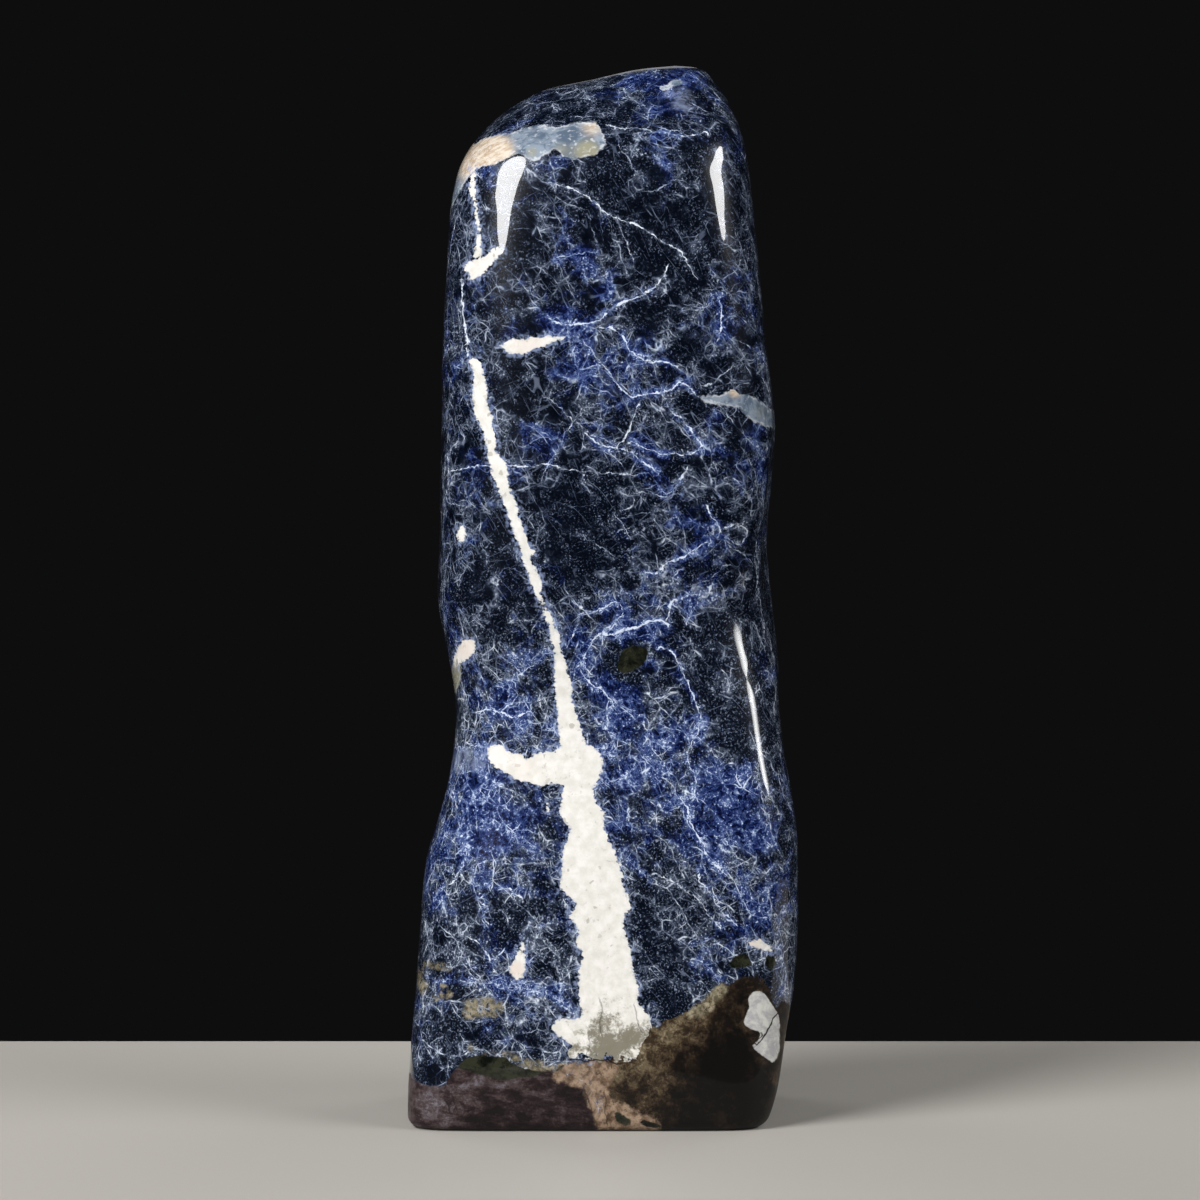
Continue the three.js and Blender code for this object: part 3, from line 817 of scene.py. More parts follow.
# Traces: how many layers share them, how far apart those of one layer keep, how far from the
# line they are painted and where they fade out, and how far round the stone's side they run
LAYERS = 9
TRACE_GAP = 4.4
TRACE_MARGIN = 4.0
TRACE_WIDE = 3.2
TRACE_END_FADE = 1.0
TRACE_REACH = 36.0
TRACE_REACH_FADE = 6.0
# Wandering traces: pixels to a step, how many steps, their usual headings and how much these
# vary, the ranges of their two strengths, and for each side how many there are and where
WANDER_STEP = 13
WANDER_STEPS = (4, 12)
WANDER_HEADINGS = (50, 120, 90)
WANDER_START = 0.4
WANDER_TURN = 0.35
WANDER_CORE = (0.5, 1.0)
WANDER_GLOW = (0.3, 0.9)
WANDER_AREAS = [
    (BACK, 52, 430, 120, 780, 1040),
    (RIGHT, 26, 490, 140, 710, 1010),
    (LEFT, 30, 490, 180, 710, 1060),
]
# They fade in between this far behind the front face and twice as far
WANDER_BEHIND = 4.0
TINY = 1e-9


def rounded(route, closed, cuts):
    """A route with its corners cut, each cut replacing every corner with two softer ones."""
    points = np.array(route, float).reshape(-1, 2)
    for _ in range(cuts):
        following = np.roll(points, -1, axis=0)
        if not closed:
            following = points[1:]
        start = points if closed else points[:-1]
        near = (1 - CUT_SHARE) * start + CUT_SHARE * following
        far = CUT_SHARE * start + (1 - CUT_SHARE) * following
        woven = np.stack([near, far], 1).reshape(-1, 2)
        points = woven if closed else np.vstack([points[:1], woven, points[-1:]])
    return points


def segment_distances(pixels, start, end):
    """Distance of every pixel to every segment, how far along it, and on which side."""
    run = end - start
    length_squared = np.maximum((run**2).sum(1), TINY)
    offset = pixels[:, None] - start[None]
    along = (offset * run).sum(2) / length_squared
    held = np.clip(along, 0, 1)
    gap = offset - held[..., None] * run
    side = np.sign(run[:, 0] * offset[..., 1] - run[:, 1] * offset[..., 0])
    return np.hypot(gap[..., 0], gap[..., 1]), along, side


def inside_depth(pixels, outline):
    """Pixels inside a closed outline get their distance to it, those outside a negative one."""
    start = outline
    end = np.roll(outline, -1, axis=0)
    distance = segment_distances(pixels, start, end)[0].min(1)
    x, y = pixels[:, 0, None], pixels[:, 1, None]
    crosses = (start[:, 1] > y) != (end[:, 1] > y)
    height = end[:, 1] - start[:, 1]
    slope = (end[:, 0] - start[:, 0]) / np.where(height == 0, TINY, height)
    hits = crosses & (x < start[:, 0] + (y - start[:, 1]) * slope)
    within = hits.sum(1) % 2 == 1
    return np.where(within, distance, -distance)


def near_outline(pixels, outline, margin):
    """Numbers of the pixels in the box round an outline, widened by a margin."""
    low = outline.min(0) - margin
    high = outline.max(0) + margin
    return np.where(((pixels > low) & (pixels < high)).all(1))[0]


def paint_shapes(views):
    """One signed depth for each layer of patches, in millimetres, positive inside them."""
    count = len(views[FRONT]["pixels"])
    layers = {layer: np.full(count, -LIMIT) for layer, *_ in SHAPES}
    for layer, turn, reach, route in SHAPES:
        outline = rounded(route, True, OUTLINE_CUTS)
        view = views[turn]
        near = near_outline(view["pixels"], outline, LIMIT * PIXELS_PER_MM)
        depth = inside_depth(view["pixels"][near], outline) / PIXELS_PER_MM
        depth -= DEPTH_SLOPE * np.maximum(view["depth"][near] - reach, 0)
        layers[layer][near] = np.maximum(layers[layer][near], depth)
    return {name: np.clip(value, -LIMIT, LIMIT) for name, value in layers.items()}


def paint_spots(view, spots):
    """A sum of soft round spots, as seen in one view, fading out towards its far side."""
    total = np.zeros(len(view["pixels"]))
    for x, y, radius, strength in spots:
        away = ((view["pixels"] - (x, y)) ** 2).sum(1) / radius**2
        total += strength * np.exp(-away)
    fade = np.clip(2 - view["depth"] / ZONE_DEPTH, 0, 1)
    return total * fade


def wandering_trace(chance, area):
    """A thin vein of the stone's own kind at a random place within an area of the picture."""
    low_x, low_y, high_x, high_y = area
    x = chance.uniform(low_x, high_x)
    y = chance.uniform(low_y, high_y)
    heading = math.radians(chance.choice(WANDER_HEADINGS)) + chance.normal(0, WANDER_START)
    route = [(x, y)]
    for _ in range(chance.integers(*WANDER_STEPS)):
        heading += chance.normal(0, WANDER_TURN)
        x += WANDER_STEP * math.cos(heading)
        y += WANDER_STEP * math.sin(heading)
        route.append((x, y))
    return route


def all_traces():
    """The drawn thin veins of the front, and wandering ones for the other three sides."""
    traces = [(FRONT, core, glow, route) for core, glow, *route in TRACES]
    chance = np.random.default_rng(SEED)
    for turn, count, *area in WANDER_AREAS:
        for _ in range(count):
            core = chance.uniform(*WANDER_CORE)
            glow = chance.uniform(*WANDER_GLOW)
            traces.append((turn, core, glow, wandering_trace(chance, area)))
    return traces


def routes_gap(first, second):
    """The shortest distance from the points of one route to the lines of the other."""
    return min(segment_distances(first, second[:-1], second[1:])[0].min(),
               segment_distances(second, first[:-1], first[1:])[0].min())


def shared_layers(traces):
    """Thin veins sorted into layers, so that those of one layer keep clear of each other."""
    layers = [[] for _ in range(LAYERS)]
    for turn, core, glow, route in traces:
        line = rounded(route, False, CORNER_CUTS)
        room = []
        for layer in layers:
            gaps = [routes_gap(line, other[3]) for other in layer if other[0] == turn]
            room.append(min(gaps, default=math.inf))
        free = [k for k in range(LAYERS) if room[k] > TRACE_GAP * PIXELS_PER_MM]
        chosen = free[0] if free else int(np.argmax(room))
        layers[chosen].append((turn, core, glow, line))
    return layers


def paint_traces(views, layer):
    """For one layer: signed distance to its nearest line, and the line's two strengths."""
    behind_front = np.clip(views[FRONT]["depth"] / WANDER_BEHIND - 1, 0, 1)
    count = len(behind_front)
    painted = np.zeros((count, 3))
    painted[:, 0] = LIMIT
    for turn, core, glow, line in layer:
        view = views[turn]
        near = near_outline(view["pixels"], line, TRACE_MARGIN * PIXELS_PER_MM)
        near = near[view["depth"][near] < TRACE_REACH]
        if len(near) == 0:
            continue
        distance, along, side = segment_distances(view["pixels"][near], line[:-1], line[1:])
        best = distance.argmin(1)
        rows = np.arange(len(near))
        distance = distance[rows, best] / PIXELS_PER_MM
        run = np.linalg.norm(line[1:] - line[:-1], axis=1)[best] / PIXELS_PER_MM
        past_start = np.where(best == 0, -along[rows, best] * run, 0)
        past_end = np.where(best == len(line) - 2, (along[rows, best] - 1) * run, 0)
        past = np.maximum(np.maximum(past_start, past_end), 0)
        fade = np.clip(1 - past / TRACE_END_FADE, 0, 1)
        fade *= np.clip(2 * (1 - distance / TRACE_WIDE), 0, 1)
        fade *= np.clip((TRACE_REACH - view["depth"][near]) / TRACE_REACH_FADE, 0, 1)
        if turn != FRONT:
            fade *= behind_front[near]
        closer = distance < np.abs(painted[near, 0])
        kept = near[closer]
        painted[kept, 0] = (distance * side[rows, best])[closer]
        painted[kept, 1] = (core * fade)[closer]
        painted[kept, 2] = (glow * fade)[closer]
    return painted


# ---------------------------------------------------------------------------------------
# The skin
# ---------------------------------------------------------------------------------------


def fitted(points):
    """Points of the rows moved and scaled, axis by axis, to fill the solid's own box."""
    low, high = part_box(NODE)
    low, high = np.array(low) / MM, np.array(high) / MM
    own_low, own_high = points.min(0), points.max(0)
    return low + (points - own_low) * (high - low) / (own_high - own_low)


def add_values(mesh, name, values):
    """A named attribute on every point, of one number or of three."""
    kind = "FLOAT" if values.ndim == 1 else "FLOAT_VECTOR"
    field = "value" if values.ndim == 1 else "vector"
    layer = mesh.attributes.new(name, kind, "POINT")
    layer.data.foreach_set(field, values.astype(np.float32).ravel())


def make_skin():
    """The mesh of the stone, with its patches, traces and zones painted on its points."""
    rings = ring_points()
    ring_count, side_count = rings.shape[:2]
    middle = (0, 0, 0)
    points = np.vstack([rings.reshape(-1, 3), middle, PEAK])
    ring_of = np.append(np.repeat(np.arange(ring_count), side_count), [0, ring_count - 1])
    mesh = bpy.data.meshes.new("stone_skin")
    mesh.from_pydata((fitted(points) * MM).tolist(), [], skin_faces(ring_count, side_count))
    mesh.shade_smooth()

    views = {}
    for turn in (FRONT, RIGHT, BACK, LEFT):
        views[turn] = {
            "pixels": picture_of(points, turn),
            "depth": depth_behind(points, ring_of, turn),
        }
    for name, values in paint_shapes(views).items():
        add_values(mesh, name, values)
    zones = [paint_spots(views[FRONT], spots) for spots in (BLUE_ZONES, CALM_ZONES, WEB_ZONES)]
    add_values(mesh, "zones", np.stack(zones, 1))
    tints = [paint_spots(views[FRONT], spots) for spots in (WARM_SPOTS, OLIVE_SPOTS, FOOT_TONE_AND_SHEEN)]
    add_values(mesh, "tints", np.stack(tints, 1))
    for number, layer in enumerate(shared_layers(all_traces())):
        add_values(mesh, f"trace_{number}", paint_traces(views, layer))
    cracks = [(FRONT, core, 0.0, rounded(route, False, 0)) for core, *route in CRACKS]
    add_values(mesh, "cracks", paint_traces(views, cracks))

    skin = bpy.data.objects.new("stone_skin", mesh)
    bpy.context.scene.collection.objects.link(skin)
    return skin


# ---------------------------------------------------------------------------------------
# Shader nodes in short calls
# ---------------------------------------------------------------------------------------

STONE = bpy.data.materials.new("polished_sodalite")
STONE.use_nodes = True
STONE.node_tree.nodes.clear()


def tint(red, green, blue):
    """A screen colour from 0 to 255 as the linear colour that a shader takes."""
    def linear(value):
        share = value / 255
        return share / 12.92 if share <= 0.04045 else ((share + 0.055) / 1.055) ** 2.4
    return (linear(red), linear(green), linear(blue), 1.0)


class Value:
    """What a shader node gives at each place; its sums and products become nodes as well."""

    def __init__(self, socket):
        self.socket = socket

    def __add__(self, other):
        return arithmetic("ADD", self, other)

    def __sub__(self, other):
        return arithmetic("SUBTRACT", self, other)

    def __rsub__(self, other):
        return arithmetic("SUBTRACT", other, self)

    def __mul__(self, other):
        return arithmetic("MULTIPLY", self, other)

    def __truediv__(self, other):
        return arithmetic("DIVIDE", self, other)

    def __abs__(self):
        return arithmetic("ABSOLUTE", self)


def add(kind, inputs, **settings):
    """A new node of the stone's material, with inputs filled by values or by links."""
    node = STONE.node_tree.nodes.new("ShaderNode" + kind)
    for name, setting in settings.items():
        setattr(node, name, setting)
    for key, value in inputs.items():
        if isinstance(value, Value):
            STONE.node_tree.links.new(value.socket, node.inputs[key])
        else:
            node.inputs[key].default_value = value
    return node


def arithmetic(operation, *values):
    """Numbers and values joined by a Math node."""
    return Value(add("Math", dict(enumerate(values)), operation=operation).outputs[0])


def vector(operation, inputs):
    """Places joined by a Vector Math node."""
    return Value(add("VectorMath", inputs, operation=operation).outputs[0])


def split(value):
    """The three parts of a place, a colour or an attribute of three numbers."""
    return [Value(part) for part in add("SeparateXYZ", {0: value}).outputs]


def attribute(name, output="Fac"):
    """What the skin's points carry under that name."""
    return Value(add("Attribute", {}, attribute_name=name).outputs[output])


def smooth(value, low, high, top=1.0):
    """0 below low, top above high and soft between; with low above high it falls."""
    inputs = {"Value": value, "From Min": low, "From Max": high, "To Max": top}
    return Value(add("MapRange", inputs, interpolation_type="SMOOTHSTEP").outputs["Result"])


def most(*values):
    """The greatest of several values at each place."""
    total = values[0]
    for value in values[1:]:
        total = arithmetic("MAXIMUM", total, value)
    return total


def noise(place, size, detail, roughness, output):
    """Noise with features of that size in millimetres."""
    inputs = {"Vector": place, "Scale": 1 / size, "Detail": detail, "Roughness": roughness}
    return Value(add("TexNoise", inputs).outputs[output])


def grain(place, size, detail=2.0, roughness=0.5):
    """Noise of that size as one number, mostly between 0.3 and 0.7."""
    return noise(place, size, detail, roughness, "Fac")


def centred(place, size, detail=1.0, roughness=0.5):
    """Noise of that size, moved to lie evenly on both sides of zero."""
    return grain(place, size, detail, roughness) - 0.5


def bent(place, size, amount, detail=1.0):
    """A place pushed about by noise of that size, by up to that amount."""
    swirl = noise(place, size, detail, 0.5, "Color")
    shift = vector("SUBTRACT", {0: swirl, 1: (0.5, 0.5, 0.5)})
    return vector("ADD", {0: place, 1: vector("SCALE", {0: shift, "Scale": 2 * amount})})


def drawn_out(place, slope, stretch, depth=1.0):
    """A place whose patterns are stretched along a line that falls to the right."""
    turned = (0, math.radians(slope), 0)
    inputs = {"Vector": place, "Rotation": turned, "Scale": (stretch, depth, 1)}
    return Value(add("Mapping", inputs, vector_type="TEXTURE").outputs[0])


def cells(place, size, feature, output):
    """Irregular cells of that size: how far their walls are, or a colour for each."""
    inputs = {"Vector": place, "Scale": 1 / size}
    return Value(add("TexVoronoi", inputs, feature=feature).outputs[output])


def blend(share, first, second):
    """The first colour where the share is 0 and the second where it is 1."""
    inputs = {0: share, 6: first, 7: second}
    return Value(add("Mix", inputs, data_type="RGBA", clamp_factor=True).outputs[2])


def ramp(value, stops):
    """A colour read off a scale of places from 0 to 1, each with its colour."""
    node = add("ValToRGB", {0: value})
    band = node.color_ramp.elements
    while len(band) < len(stops):
        band.new(0.5)
    for element, (place, *colour) in zip(band, stops):
        element.position = place
        element.color = tint(*colour)
    return Value(node.outputs[0])


def crusted(depth, amount):
    """A depth with a crumbly edge, which noise moves by up to that many millimetres."""
    return depth + CRUMBS * (2 * amount)


# ---------------------------------------------------------------------------------------
# The polished stone
# ---------------------------------------------------------------------------------------

PLACE = vector("SCALE", {0: Value(add("TexCoord", {}).outputs["Object"]), "Scale": 1 / MM})
FRAYED = bent(bent(PLACE, 10, 3.2, 3), 1.9, 0.55, 3)
CRUMBS = centred(PLACE, 5.0, 5, 0.68)
LOW_DOWN = smooth(split(PLACE)[2], 180, 110)
BLUE, CALM, DENSE = split(attribute("zones", "Vector"))
# The third tint is the foot's paler or darker tone: its own mottling, with a painted sheen at its
# left edge.
WARM, OLIVE, TONE_AND_SHEEN = split(attribute("tints", "Vector"))

# From the darkest rock to the whitest vein: place on the scale, then red, green and blue
GREY_ROCK = [
    (0.00, 1, 4, 13), (0.15, 9, 15, 27), (0.30, 31, 38, 53),
    (0.50, 70, 79, 96), (0.75, 130, 140, 159), (1.00, 220, 226, 236),
]
BLUE_ROCK = [
    (0.00, 2, 7, 30), (0.15, 8, 16, 50), (0.30, 23, 36, 81),
    (0.50, 54, 71, 122), (0.75, 116, 134, 174), (1.00, 214, 223, 242),
]
BROWN_ROCK = [
    (0.00, 6, 4, 3), (0.25, 26, 18, 12), (0.50, 57, 45, 32),
    (0.75, 100, 88, 68), (1.00, 152, 142, 120),
]
PURPLE_ROCK = [
    (0.00, 14, 9, 10), (0.25, 37, 25, 27), (0.50, 68, 56, 57),
    (0.75, 98, 94, 101), (1.00, 138, 138, 150),
]
HAZE = tint(138, 150, 180)
BAND_DARK, BAND_LIGHT, BAND_OLIVE = tint(84, 98, 116), tint(132, 144, 158), tint(142, 140, 120)
CREAM_DARK, CREAM_LIGHT = tint(178, 156, 132), tint(214, 202, 186)
BAND_FLECK, BAND_EDGE = tint(226, 228, 232), tint(214, 216, 222)
TAN_DARK, TAN_LIGHT = tint(80, 75, 58), tint(160, 150, 126)
PATH_DARK, PATH_LIGHT = tint(94, 74, 58), tint(152, 130, 110)
LENS_DARK, LENS_LIGHT = tint(7, 10, 8), tint(46, 48, 36)
CHALK_DARK, CHALK_LIGHT = tint(166, 164, 166), tint(200, 200, 193)
FOOT_LINE, CRACK = tint(172, 154, 126), tint(22, 18, 17)
VEIN_DARK, VEIN_LIGHT, VEIN_PINK = tint(222, 219, 211), tint(241, 238, 233), tint(228, 212, 200)
VEIN_RIM, VEIN_THIN = tint(150, 166, 206), tint(158, 168, 184)
VEIN_STAIN, VEIN_PIT = tint(98, 92, 68), tint(150, 142, 128)

# The walls of the web: slope and stretch of their cells, cell size, width of the soft band
# and of the fine crest, how crowded the web must be for them to show, and their strength
WEB_WALLS = [
    (53, 2.2, 6.5, 1.3, 0.30, 0.36, 0.96),
    (-27, 1.8, 4.4, 1.0, 0.26, 0.40, 0.88),
    (53, 2.2, 2.8, 0.6, 0.22, 0.45, 0.78),
    (0, 1.0, 1.8, 0.4, 0.18, 0.50, 0.66),
]
# Fine straight lines of cleavage: their slope, how far apart they lie, and their strength
CLEAVAGE = [(52, 4.0, 0.55), (-27, 5.0, 0.50), (66, 2.6, 0.42)]


def thin_veins():
    """The drawn thin veins: how much of a line and of its blue glow shows at each place."""
    shake = centred(PLACE, 0.8, 2) * 1.1 + centred(PLACE, 2.2) * 1.5 + centred(PLACE, 6.0) * 1.8
    thick = smooth(grain(PLACE, 2.2, 2), 0.42, 0.72, 0.15)
    strand = grain(PLACE, 4.2, 2) * 2.2 + 0.2
    faint = smooth(grain(PLACE, 1.5, 3), 0.46, 0.62)
    lines = []
    glows = []
    for number in range(LAYERS):
        distance, core, halo = split(attribute(f"trace_{number}", "Vector"))
        signed = distance + shake
        away = abs(signed)
        slim = away / (core * core + 0.35)
        main = smooth(slim, thick + 0.17, thick, 1.05)
        soft = smooth(slim, 0.8, 0.1) * faint * 0.62
        beside = smooth(abs(signed + 1.0 - strand), 0.22, 0.03) * faint * 0.7
        lines.append(most(main, soft, beside) * core)
        glows.append(smooth(away, 2.4, 0.1) * halo)
    broken = smooth(grain(PLACE, 1.7, 3, 0.6), 0.34, 0.58)
    return most(*lines) * (broken * 0.46 + 0.50), most(*glows)


def fine_web(glow):
    """The web of the rock: soft pale walls round dark cells, and fine crests along them."""
    jagged = bent(bent(PLACE, 9, 2.4, 2), 1.7, 0.30, 2)
    crowd = grain(PLACE, 8) + DENSE * 0.09 - CALM * 0.12 + glow * 0.10
    bands = []
    crests = []
    for slope, stretch, size, band, crest, start, strength in WEB_WALLS:
        lie = drawn_out(jagged, slope, stretch)
        away = cells(lie, size, "DISTANCE_TO_EDGE", "Distance") * size
        shown = smooth(crowd, start, start + 0.15, strength)
        bands.append(smooth(away, band, 0.0) * shown)
        crests.append(smooth(away, crest, 0.0) * shown)
    broken = smooth(grain(PLACE, 2.6, 3, 0.7), 0.38, 0.64)
    return most(*bands), most(*crests) * (LOW_DOWN * 0.14 + 0.88) * (broken * 0.48 + 0.58)


def hairlines():
    """Long fine scratches and cleavage lines, most of them running down to the right."""
    found = []
    for slope, apart, strength in CLEAVAGE:
        along = drawn_out(bent(PLACE, 25, 2.0), slope, 11.0, 2.0)
        line = smooth(abs(centred(along, apart, 0)), 0.05 / apart, 0.01 / apart)
        found.append(line * smooth(grain(PLACE, apart + 2), 0.47, 0.60, strength))
    return most(*found)


def rock_tone(glow):
    """How light the rock is between the lines: ink, grey grit and pale frost by the veins."""
    body = smooth(grain(FRAYED, 4, 5, 0.75), 0.42, 0.70, 0.26)
    grit = smooth(grain(PLACE, 0.6, 2, 0.7), 0.48, 0.72)
    dusty = smooth(grain(PLACE, 5.5, 4, 0.65) + LOW_DOWN * 0.10, 0.28, 0.60)
    frost = smooth(grain(FRAYED, 0.9, 4, 0.75), 0.46, 0.62)
    tone = body + 0.01 + grit * dusty * 0.56 + LOW_DOWN * 0.06 + BLUE * 0.04
    return tone + frost * glow * 0.42


def rock_colour(line, glow, web, bands):
    """Grey rock that turns royal blue in clouds, with ink-dark cells, the web and the lines."""
    drift = grain(bent(PLACE, 20, 9, 2), 12, 5, 0.62)
    lift = drift + BLUE * 0.15 - CALM * 0.14 + glow * 0.16 + centred(FRAYED, 2.2, 4) * 0.45
    cloud = smooth(lift, 0.52, 0.76)
    dots = smooth(grain(FRAYED, 1.6, 3, 0.6), 0.38, 0.58)
    ink = smooth(crusted(attribute("ink"), 1.6), -0.6, 0.6, 0.8)
    tone = rock_tone(glow) * (1.0 - ink) + cloud * dots * 0.20
    tone = tone * (1.0 - cloud * (1.0 - dots) * 0.5)
    tone = tone + bands * grain(PLACE, 1.0, 3, 0.7) * 0.34
    tone = most(tone, web, hairlines(), line)
    return blend(cloud, ramp(tone, GREY_ROCK), ramp(tone, BLUE_ROCK))


def add_band(colour):
    """The pale band over the shoulder and its kin: cream, blue-grey and olive."""
    depth = attribute("band") + centred(PLACE, 0.9, 2) * 1.2 + centred(PLACE, 3.2, 2) * 1.8
    clouds = smooth(grain(bent(PLACE, 6, 3), 4.0, 5, 0.65), 0.38, 0.62)
    veil = smooth(crusted(attribute("veil"), 4.0), -0.6, 1.8)
    colour = blend(veil * (clouds * 0.50 + 0.05), colour, HAZE)
    body = blend(clouds, BAND_DARK, BAND_LIGHT)
    body = blend(smooth(OLIVE, 0.2, 0.8), body, BAND_OLIVE)
    layers = smooth(grain(drawn_out(PLACE, -12, 3.5), 1.6, 3, 0.7), 0.36, 0.62)
    body = blend(smooth(WARM, 0.15, 0.75), body, blend(layers, CREAM_DARK, CREAM_LIGHT))
    body = blend(smooth(grain(PLACE, 1.4, 3), 0.56, 0.7) * 0.45, body, BAND_FLECK)
    body = blend(smooth(abs(depth), 0.7, 0.1) * clouds * 0.7, body, BAND_EDGE)
    return blend(smooth(depth, -0.25, 0.35), colour, body)


def add_foot(colour):
    """Everything at the foot: purple base, brown matrix, tan path, chalk, lenses, streaks, and a
    painted sheen at its left edge.
    """
    flat = drawn_out(bent(PLACE, 6, 1.2, 2), 3, 3.0, 2.0)
    streaks = smooth(grain(flat, 2.2, 5, 0.74), 0.38, 0.62)
    clouds = smooth(grain(FRAYED, 2.6, 4, 0.65), 0.36, 0.64)
    mottle = smooth(grain(bent(PLACE, 4, 1.4, 2), 4.2, 5, 0.72), 0.36, 0.64)
    specks = smooth(grain(PLACE, 0.8, 4, 0.7), 0.44, 0.68, 0.16)
    patchy = smooth(grain(PLACE, 1.6, 5, 0.7), 0.34, 0.58)

    # Both foot colours grow paler with the foot's tone: its own mottling, and a painted sheen at
    # its left edge.
    brown = smooth(crusted(attribute("matrix"), 4), -0.2, 0.3)
    colour = blend(brown, colour, ramp(specks + mottle * 0.46 + TONE_AND_SHEEN * 0.55, BROWN_ROCK))
    purple = smooth(crusted(attribute("purple"), 2.4), -0.2, 0.5)
    level = specks + mottle * 0.24 + streaks * 0.30 + TONE_AND_SHEEN * 0.5
    colour = blend(purple, colour, ramp(level, PURPLE_ROCK))

    tan = smooth(crusted(attribute("tan"), 2.4), -0.6, 0.8) * patchy
    path = smooth(crusted(attribute("path"), 3.0), -0.4, 1.2) * (patchy + 0.35)
    lens = smooth(crusted(attribute("lens"), 1.4), -0.1, 0.4)
    chalk = smooth(crusted(attribute("chalk"), 1.0), -0.1, 0.3)
    colour = blend(tan, colour, blend(clouds, TAN_DARK, TAN_LIGHT))
    colour = blend(path, colour, blend(clouds, PATH_DARK, PATH_LIGHT))
    colour = blend(lens, colour, blend(mottle, LENS_DARK, LENS_LIGHT))
    colour = blend(chalk, colour, blend(clouds, CHALK_DARK, CHALK_LIGHT))
    return colour, most(brown, purple)


def add_white_vein(colour, base):
    """The thick white veins and blobs, with toothed edges and a grey-green stained foot."""
    teeth = centred(drawn_out(PLACE, 10, 1.6), 0.9, 3)
    crumbs = smooth(OLIVE, 0.15, 0.7) * centred(PLACE, 2.4, 5)
    depth = attribute("vein") + teeth * 2.4 + centred(PLACE, 3.0, 2) * 1.2 + crumbs * 9.0
    share = smooth(depth, 0.05, 0.40)
    fringe = smooth(grain(PLACE, 1.2, 3), 0.42, 0.62)
    rim = smooth(depth, -1.7, -0.2) * fringe * (0.55 - base * 0.55)
    colour = blend(rim, colour, VEIN_RIM)

    body = blend(smooth(grain(PLACE, 3.0, 4, 0.6), 0.3, 0.7), VEIN_DARK, VEIN_LIGHT)
    body = blend(smooth(WARM, 0.2, 1.0, 0.8), body, VEIN_PINK)
    thin = smooth(depth, 1.1, 0.1) * smooth(grain(PLACE, 1.5, 3), 0.4, 0.6)
    body = blend(thin * 0.5, body, VEIN_THIN)
    stain = grain(bent(PLACE, 4, 1.5), 2.4, 5, 0.80) + OLIVE * 0.34
    body = blend(smooth(stain, 0.58, 0.80, 0.85), body, VEIN_STAIN)
    chance = split(cells(PLACE, 1.1, "F1", "Color"))[0]
    body = blend(smooth(chance, 0.985, 0.995, 0.5), body, VEIN_PIT)
    return blend(share, colour, body), share


def add_cracks(colour):
    """Dark cracks across the chalk, the foot and the end of the white vein."""
    distance, core, _ = split(attribute("cracks", "Vector"))
    away = abs(distance + centred(PLACE, 2.0, 2) * 1.2)
    return blend(smooth(away, 0.32, 0.06) * core, colour, CRACK)


def finish_stone():
    """The whole material: polished and glossy, duller on the base rock of the foot."""
    line, glow = thin_veins()
    bands, web = fine_web(glow)
    colour = add_band(rock_colour(line, glow, web, bands))
    colour, base = add_foot(colour)
    colour = blend(line * base * 0.7, colour, FOOT_LINE)
    colour, vein = add_white_vein(colour, base)
    colour = add_cracks(colour)
    dull = base * (1.0 - vein)
    relief = {
        "Strength": 0.10,
        "Distance": 0.2 * MM,
        "Height": grain(PLACE, 0.7) * 0.3 - web * 0.2,
    }
    shader = add("BsdfPrincipled", {
        "Base Color": colour,
        "Roughness": vein * 0.12 + 0.22 + dull * 0.25 + grain(PLACE, 2.0) * 0.08,
        "IOR": 1.47,
        "Specular IOR Level": 0.15,
        "Coat Weight": 1.0 - dull * 0.8,
        "Coat Roughness": 0.03,
        "Coat IOR": 1.49,
        "Normal": Value(add("Bump", relief).outputs["Normal"]),
    })
    add("OutputMaterial", {"Surface": Value(shader.outputs["BSDF"])})


# ---------------------------------------------------------------------------------------
# Stage, lights and camera
# ---------------------------------------------------------------------------------------

FLOOR_LOW = (-0.60, -0.158, -0.018)
FLOOR_HIGH = (0.60, 0.139, 0.0)
FLOOR_EDGE = 0.003
SENSOR_WIDTH = 36


def make_floor():
    """A plain pale shelf under the stone."""
    size = [high - low for low, high in zip(FLOOR_LOW, FLOOR_HIGH)]
    middle = [(low + high) / 2 for low, high in zip(FLOOR_LOW, FLOOR_HIGH)]
    bpy.ops.mesh.primitive_cube_add(size=1, location=middle)
    floor = bpy.context.object
    floor.name = "floor"
    floor.scale = size
    bpy.ops.object.transform_apply(location=False, rotation=False, scale=True)
    bevel = floor.modifiers.new("edge", "BEVEL")
    bevel.width = FLOOR_EDGE
    bevel.segments = 3
    material = bpy.data.materials.new("pale_floor")
    material.use_nodes = True
    shader = material.node_tree.nodes["Principled BSDF"]
    shader.inputs["Base Color"].default_value = tint(164, 160, 154)
    shader.inputs["Roughness"].default_value = 0.6
    floor.data.materials.append(material)


def make_softbox(name, azimuth, elevation, distance, size, watts, roll=0, aim=(0, 0, 0.15)):
    """An oval light; azimuth 0 is in front of the stone, 90 to its right, and roll turns it."""
    light = bpy.data.lights.new(name, "AREA")
    light.shape = "ELLIPSE"
    light.size, light.size_y = size
    light.energy = watts
    lamp = bpy.data.objects.new(name, light)
    turn, rise = math.radians(azimuth), math.radians(elevation)
    offset = (math.sin(turn) * math.cos(rise), -math.cos(turn) * math.cos(rise), math.sin(rise))
    lamp.location = [centre + distance * part for centre, part in zip(aim, offset)]
    facing = Euler((math.pi / 2 - rise, 0, turn)).to_matrix()
    spin = Matrix.Rotation(math.radians(roll), 3, "Z")
    lamp.rotation_euler = (facing @ spin).to_euler()
    lamp.visible_camera = False
    bpy.context.scene.collection.objects.link(lamp)
    return lamp


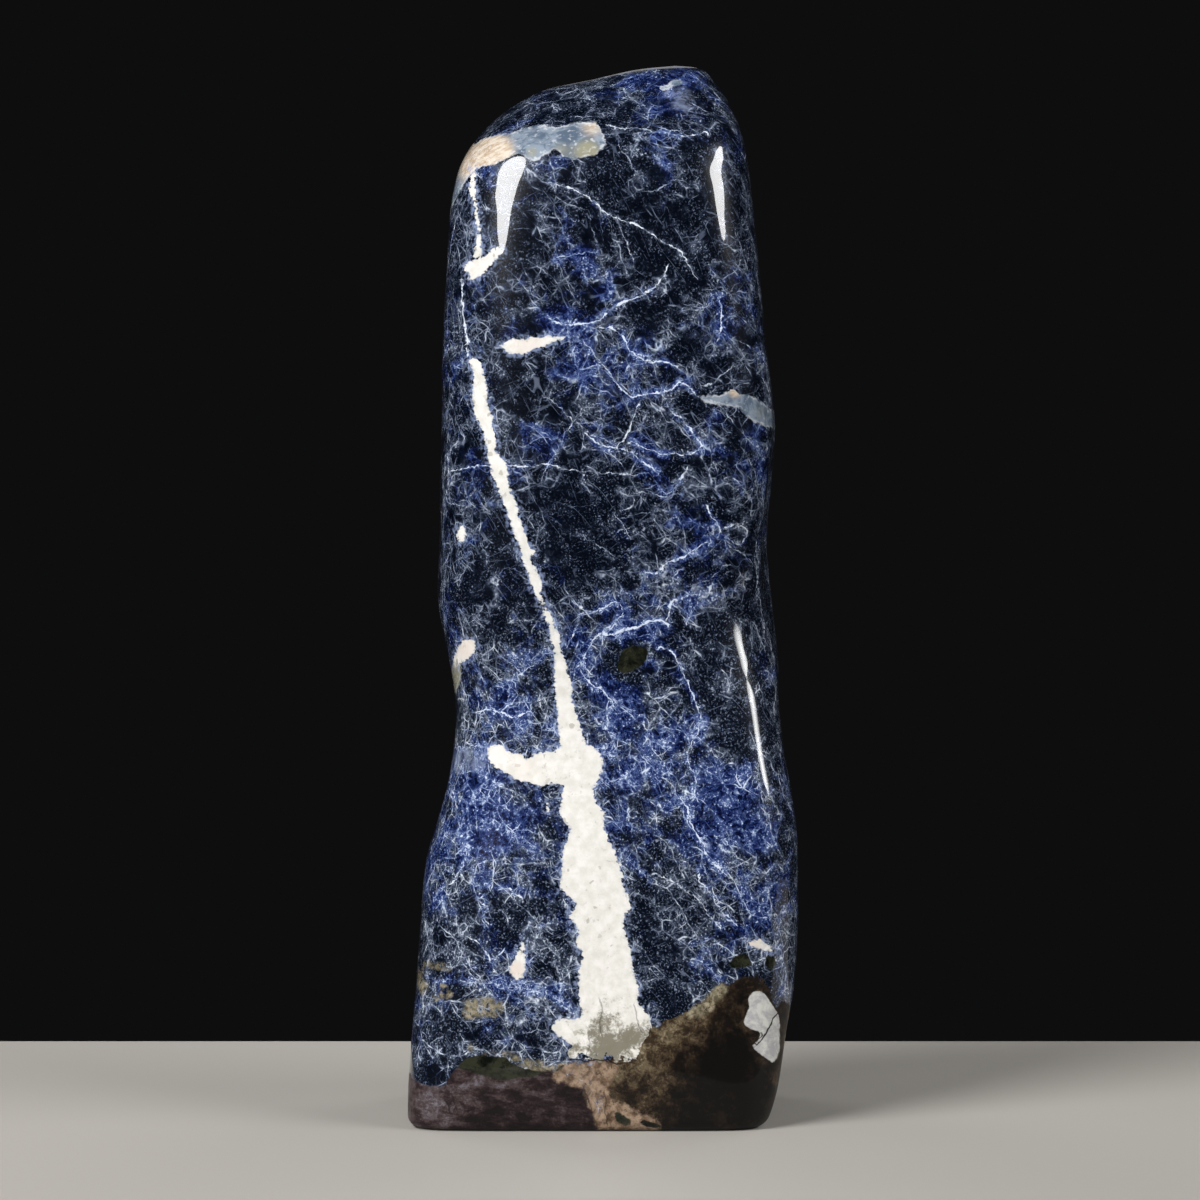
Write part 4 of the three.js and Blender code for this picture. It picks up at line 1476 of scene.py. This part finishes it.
def make_lights():
    """Two tall softboxes, a small strip light low on the right, and faint light from behind."""
    make_softbox("left_softbox", azimuth=-45.4, elevation=37.2, distance=1.6,
                 size=(0.555, 1.478), watts=37, roll=24.7)
    make_softbox("right_softbox", azimuth=64.0, elevation=31.6, distance=3.0,
                 size=(0.54, 2.37), watts=54, roll=-61.3)
    strip = make_softbox("low_strip", azimuth=62.6, elevation=13.5, distance=0.44,
                         size=(0.112, 0.0632), watts=0.0029, roll=-18.5,
                         aim=(0.045, -0.03, 0.1110))
    strip.data.spread = math.radians(16)
    strip.visible_diffuse = False
    fill = make_softbox("front_fill", azimuth=0, elevation=18, distance=2.2,
                        size=(1.6, 1.2), watts=6)
    fill.visible_glossy = False
    for name, azimuth in (("back_left", -138), ("back_right", 138)):
        back = make_softbox(name, azimuth, elevation=26, distance=1.6,
                            size=(0.9, 0.7), watts=6)
        back.visible_glossy = False
    make_softbox("back_gloss", azimuth=180, elevation=24, distance=1.6,
                 size=(0.3, 0.5), watts=0.12)


def make_world():
    """A dark empty surround, which the polished stone mirrors."""
    world = bpy.data.worlds.new("studio")
    bpy.context.scene.world = world
    world.use_nodes = True
    background = world.node_tree.nodes["Background"]
    background.inputs["Color"].default_value = tint(14, 14, 15)
    background.inputs["Strength"].default_value = 1.0


def make_camera(shift):
    """The camera of the photograph, moved sideways by as much as the stone was centred."""
    data = bpy.data.cameras.new("camera")
    data.sensor_width = SENSOR_WIDTH
    data.lens = FOCAL / PICTURE * SENSOR_WIDTH
    camera = bpy.data.objects.new("camera", data)
    back = -CAMERA_DISTANCE * math.cos(CAMERA_TILT)
    up = AIM_HEIGHT + CAMERA_DISTANCE * math.sin(CAMERA_TILT)
    camera.location = (shift * MM, back * MM, up * MM)
    camera.rotation_euler = (math.pi / 2 - CAMERA_TILT, 0, 0)
    bpy.context.scene.collection.objects.link(camera)
    bpy.context.scene.camera = camera


def row_middle():
    """How far the rows' own middle lies from the solid's, along X."""
    rings = ring_points().reshape(-1, 3)
    return -(rings[:, 0].min() + rings[:, 0].max()) / 2


bpy.context.scene.view_settings.view_transform = "Standard"
make_camera(row_middle())
skin = make_skin()
finish_stone()
skin.data.materials.append(STONE)
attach(skin, BODY)
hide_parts(NODE)
make_floor()
make_lights()
make_world()
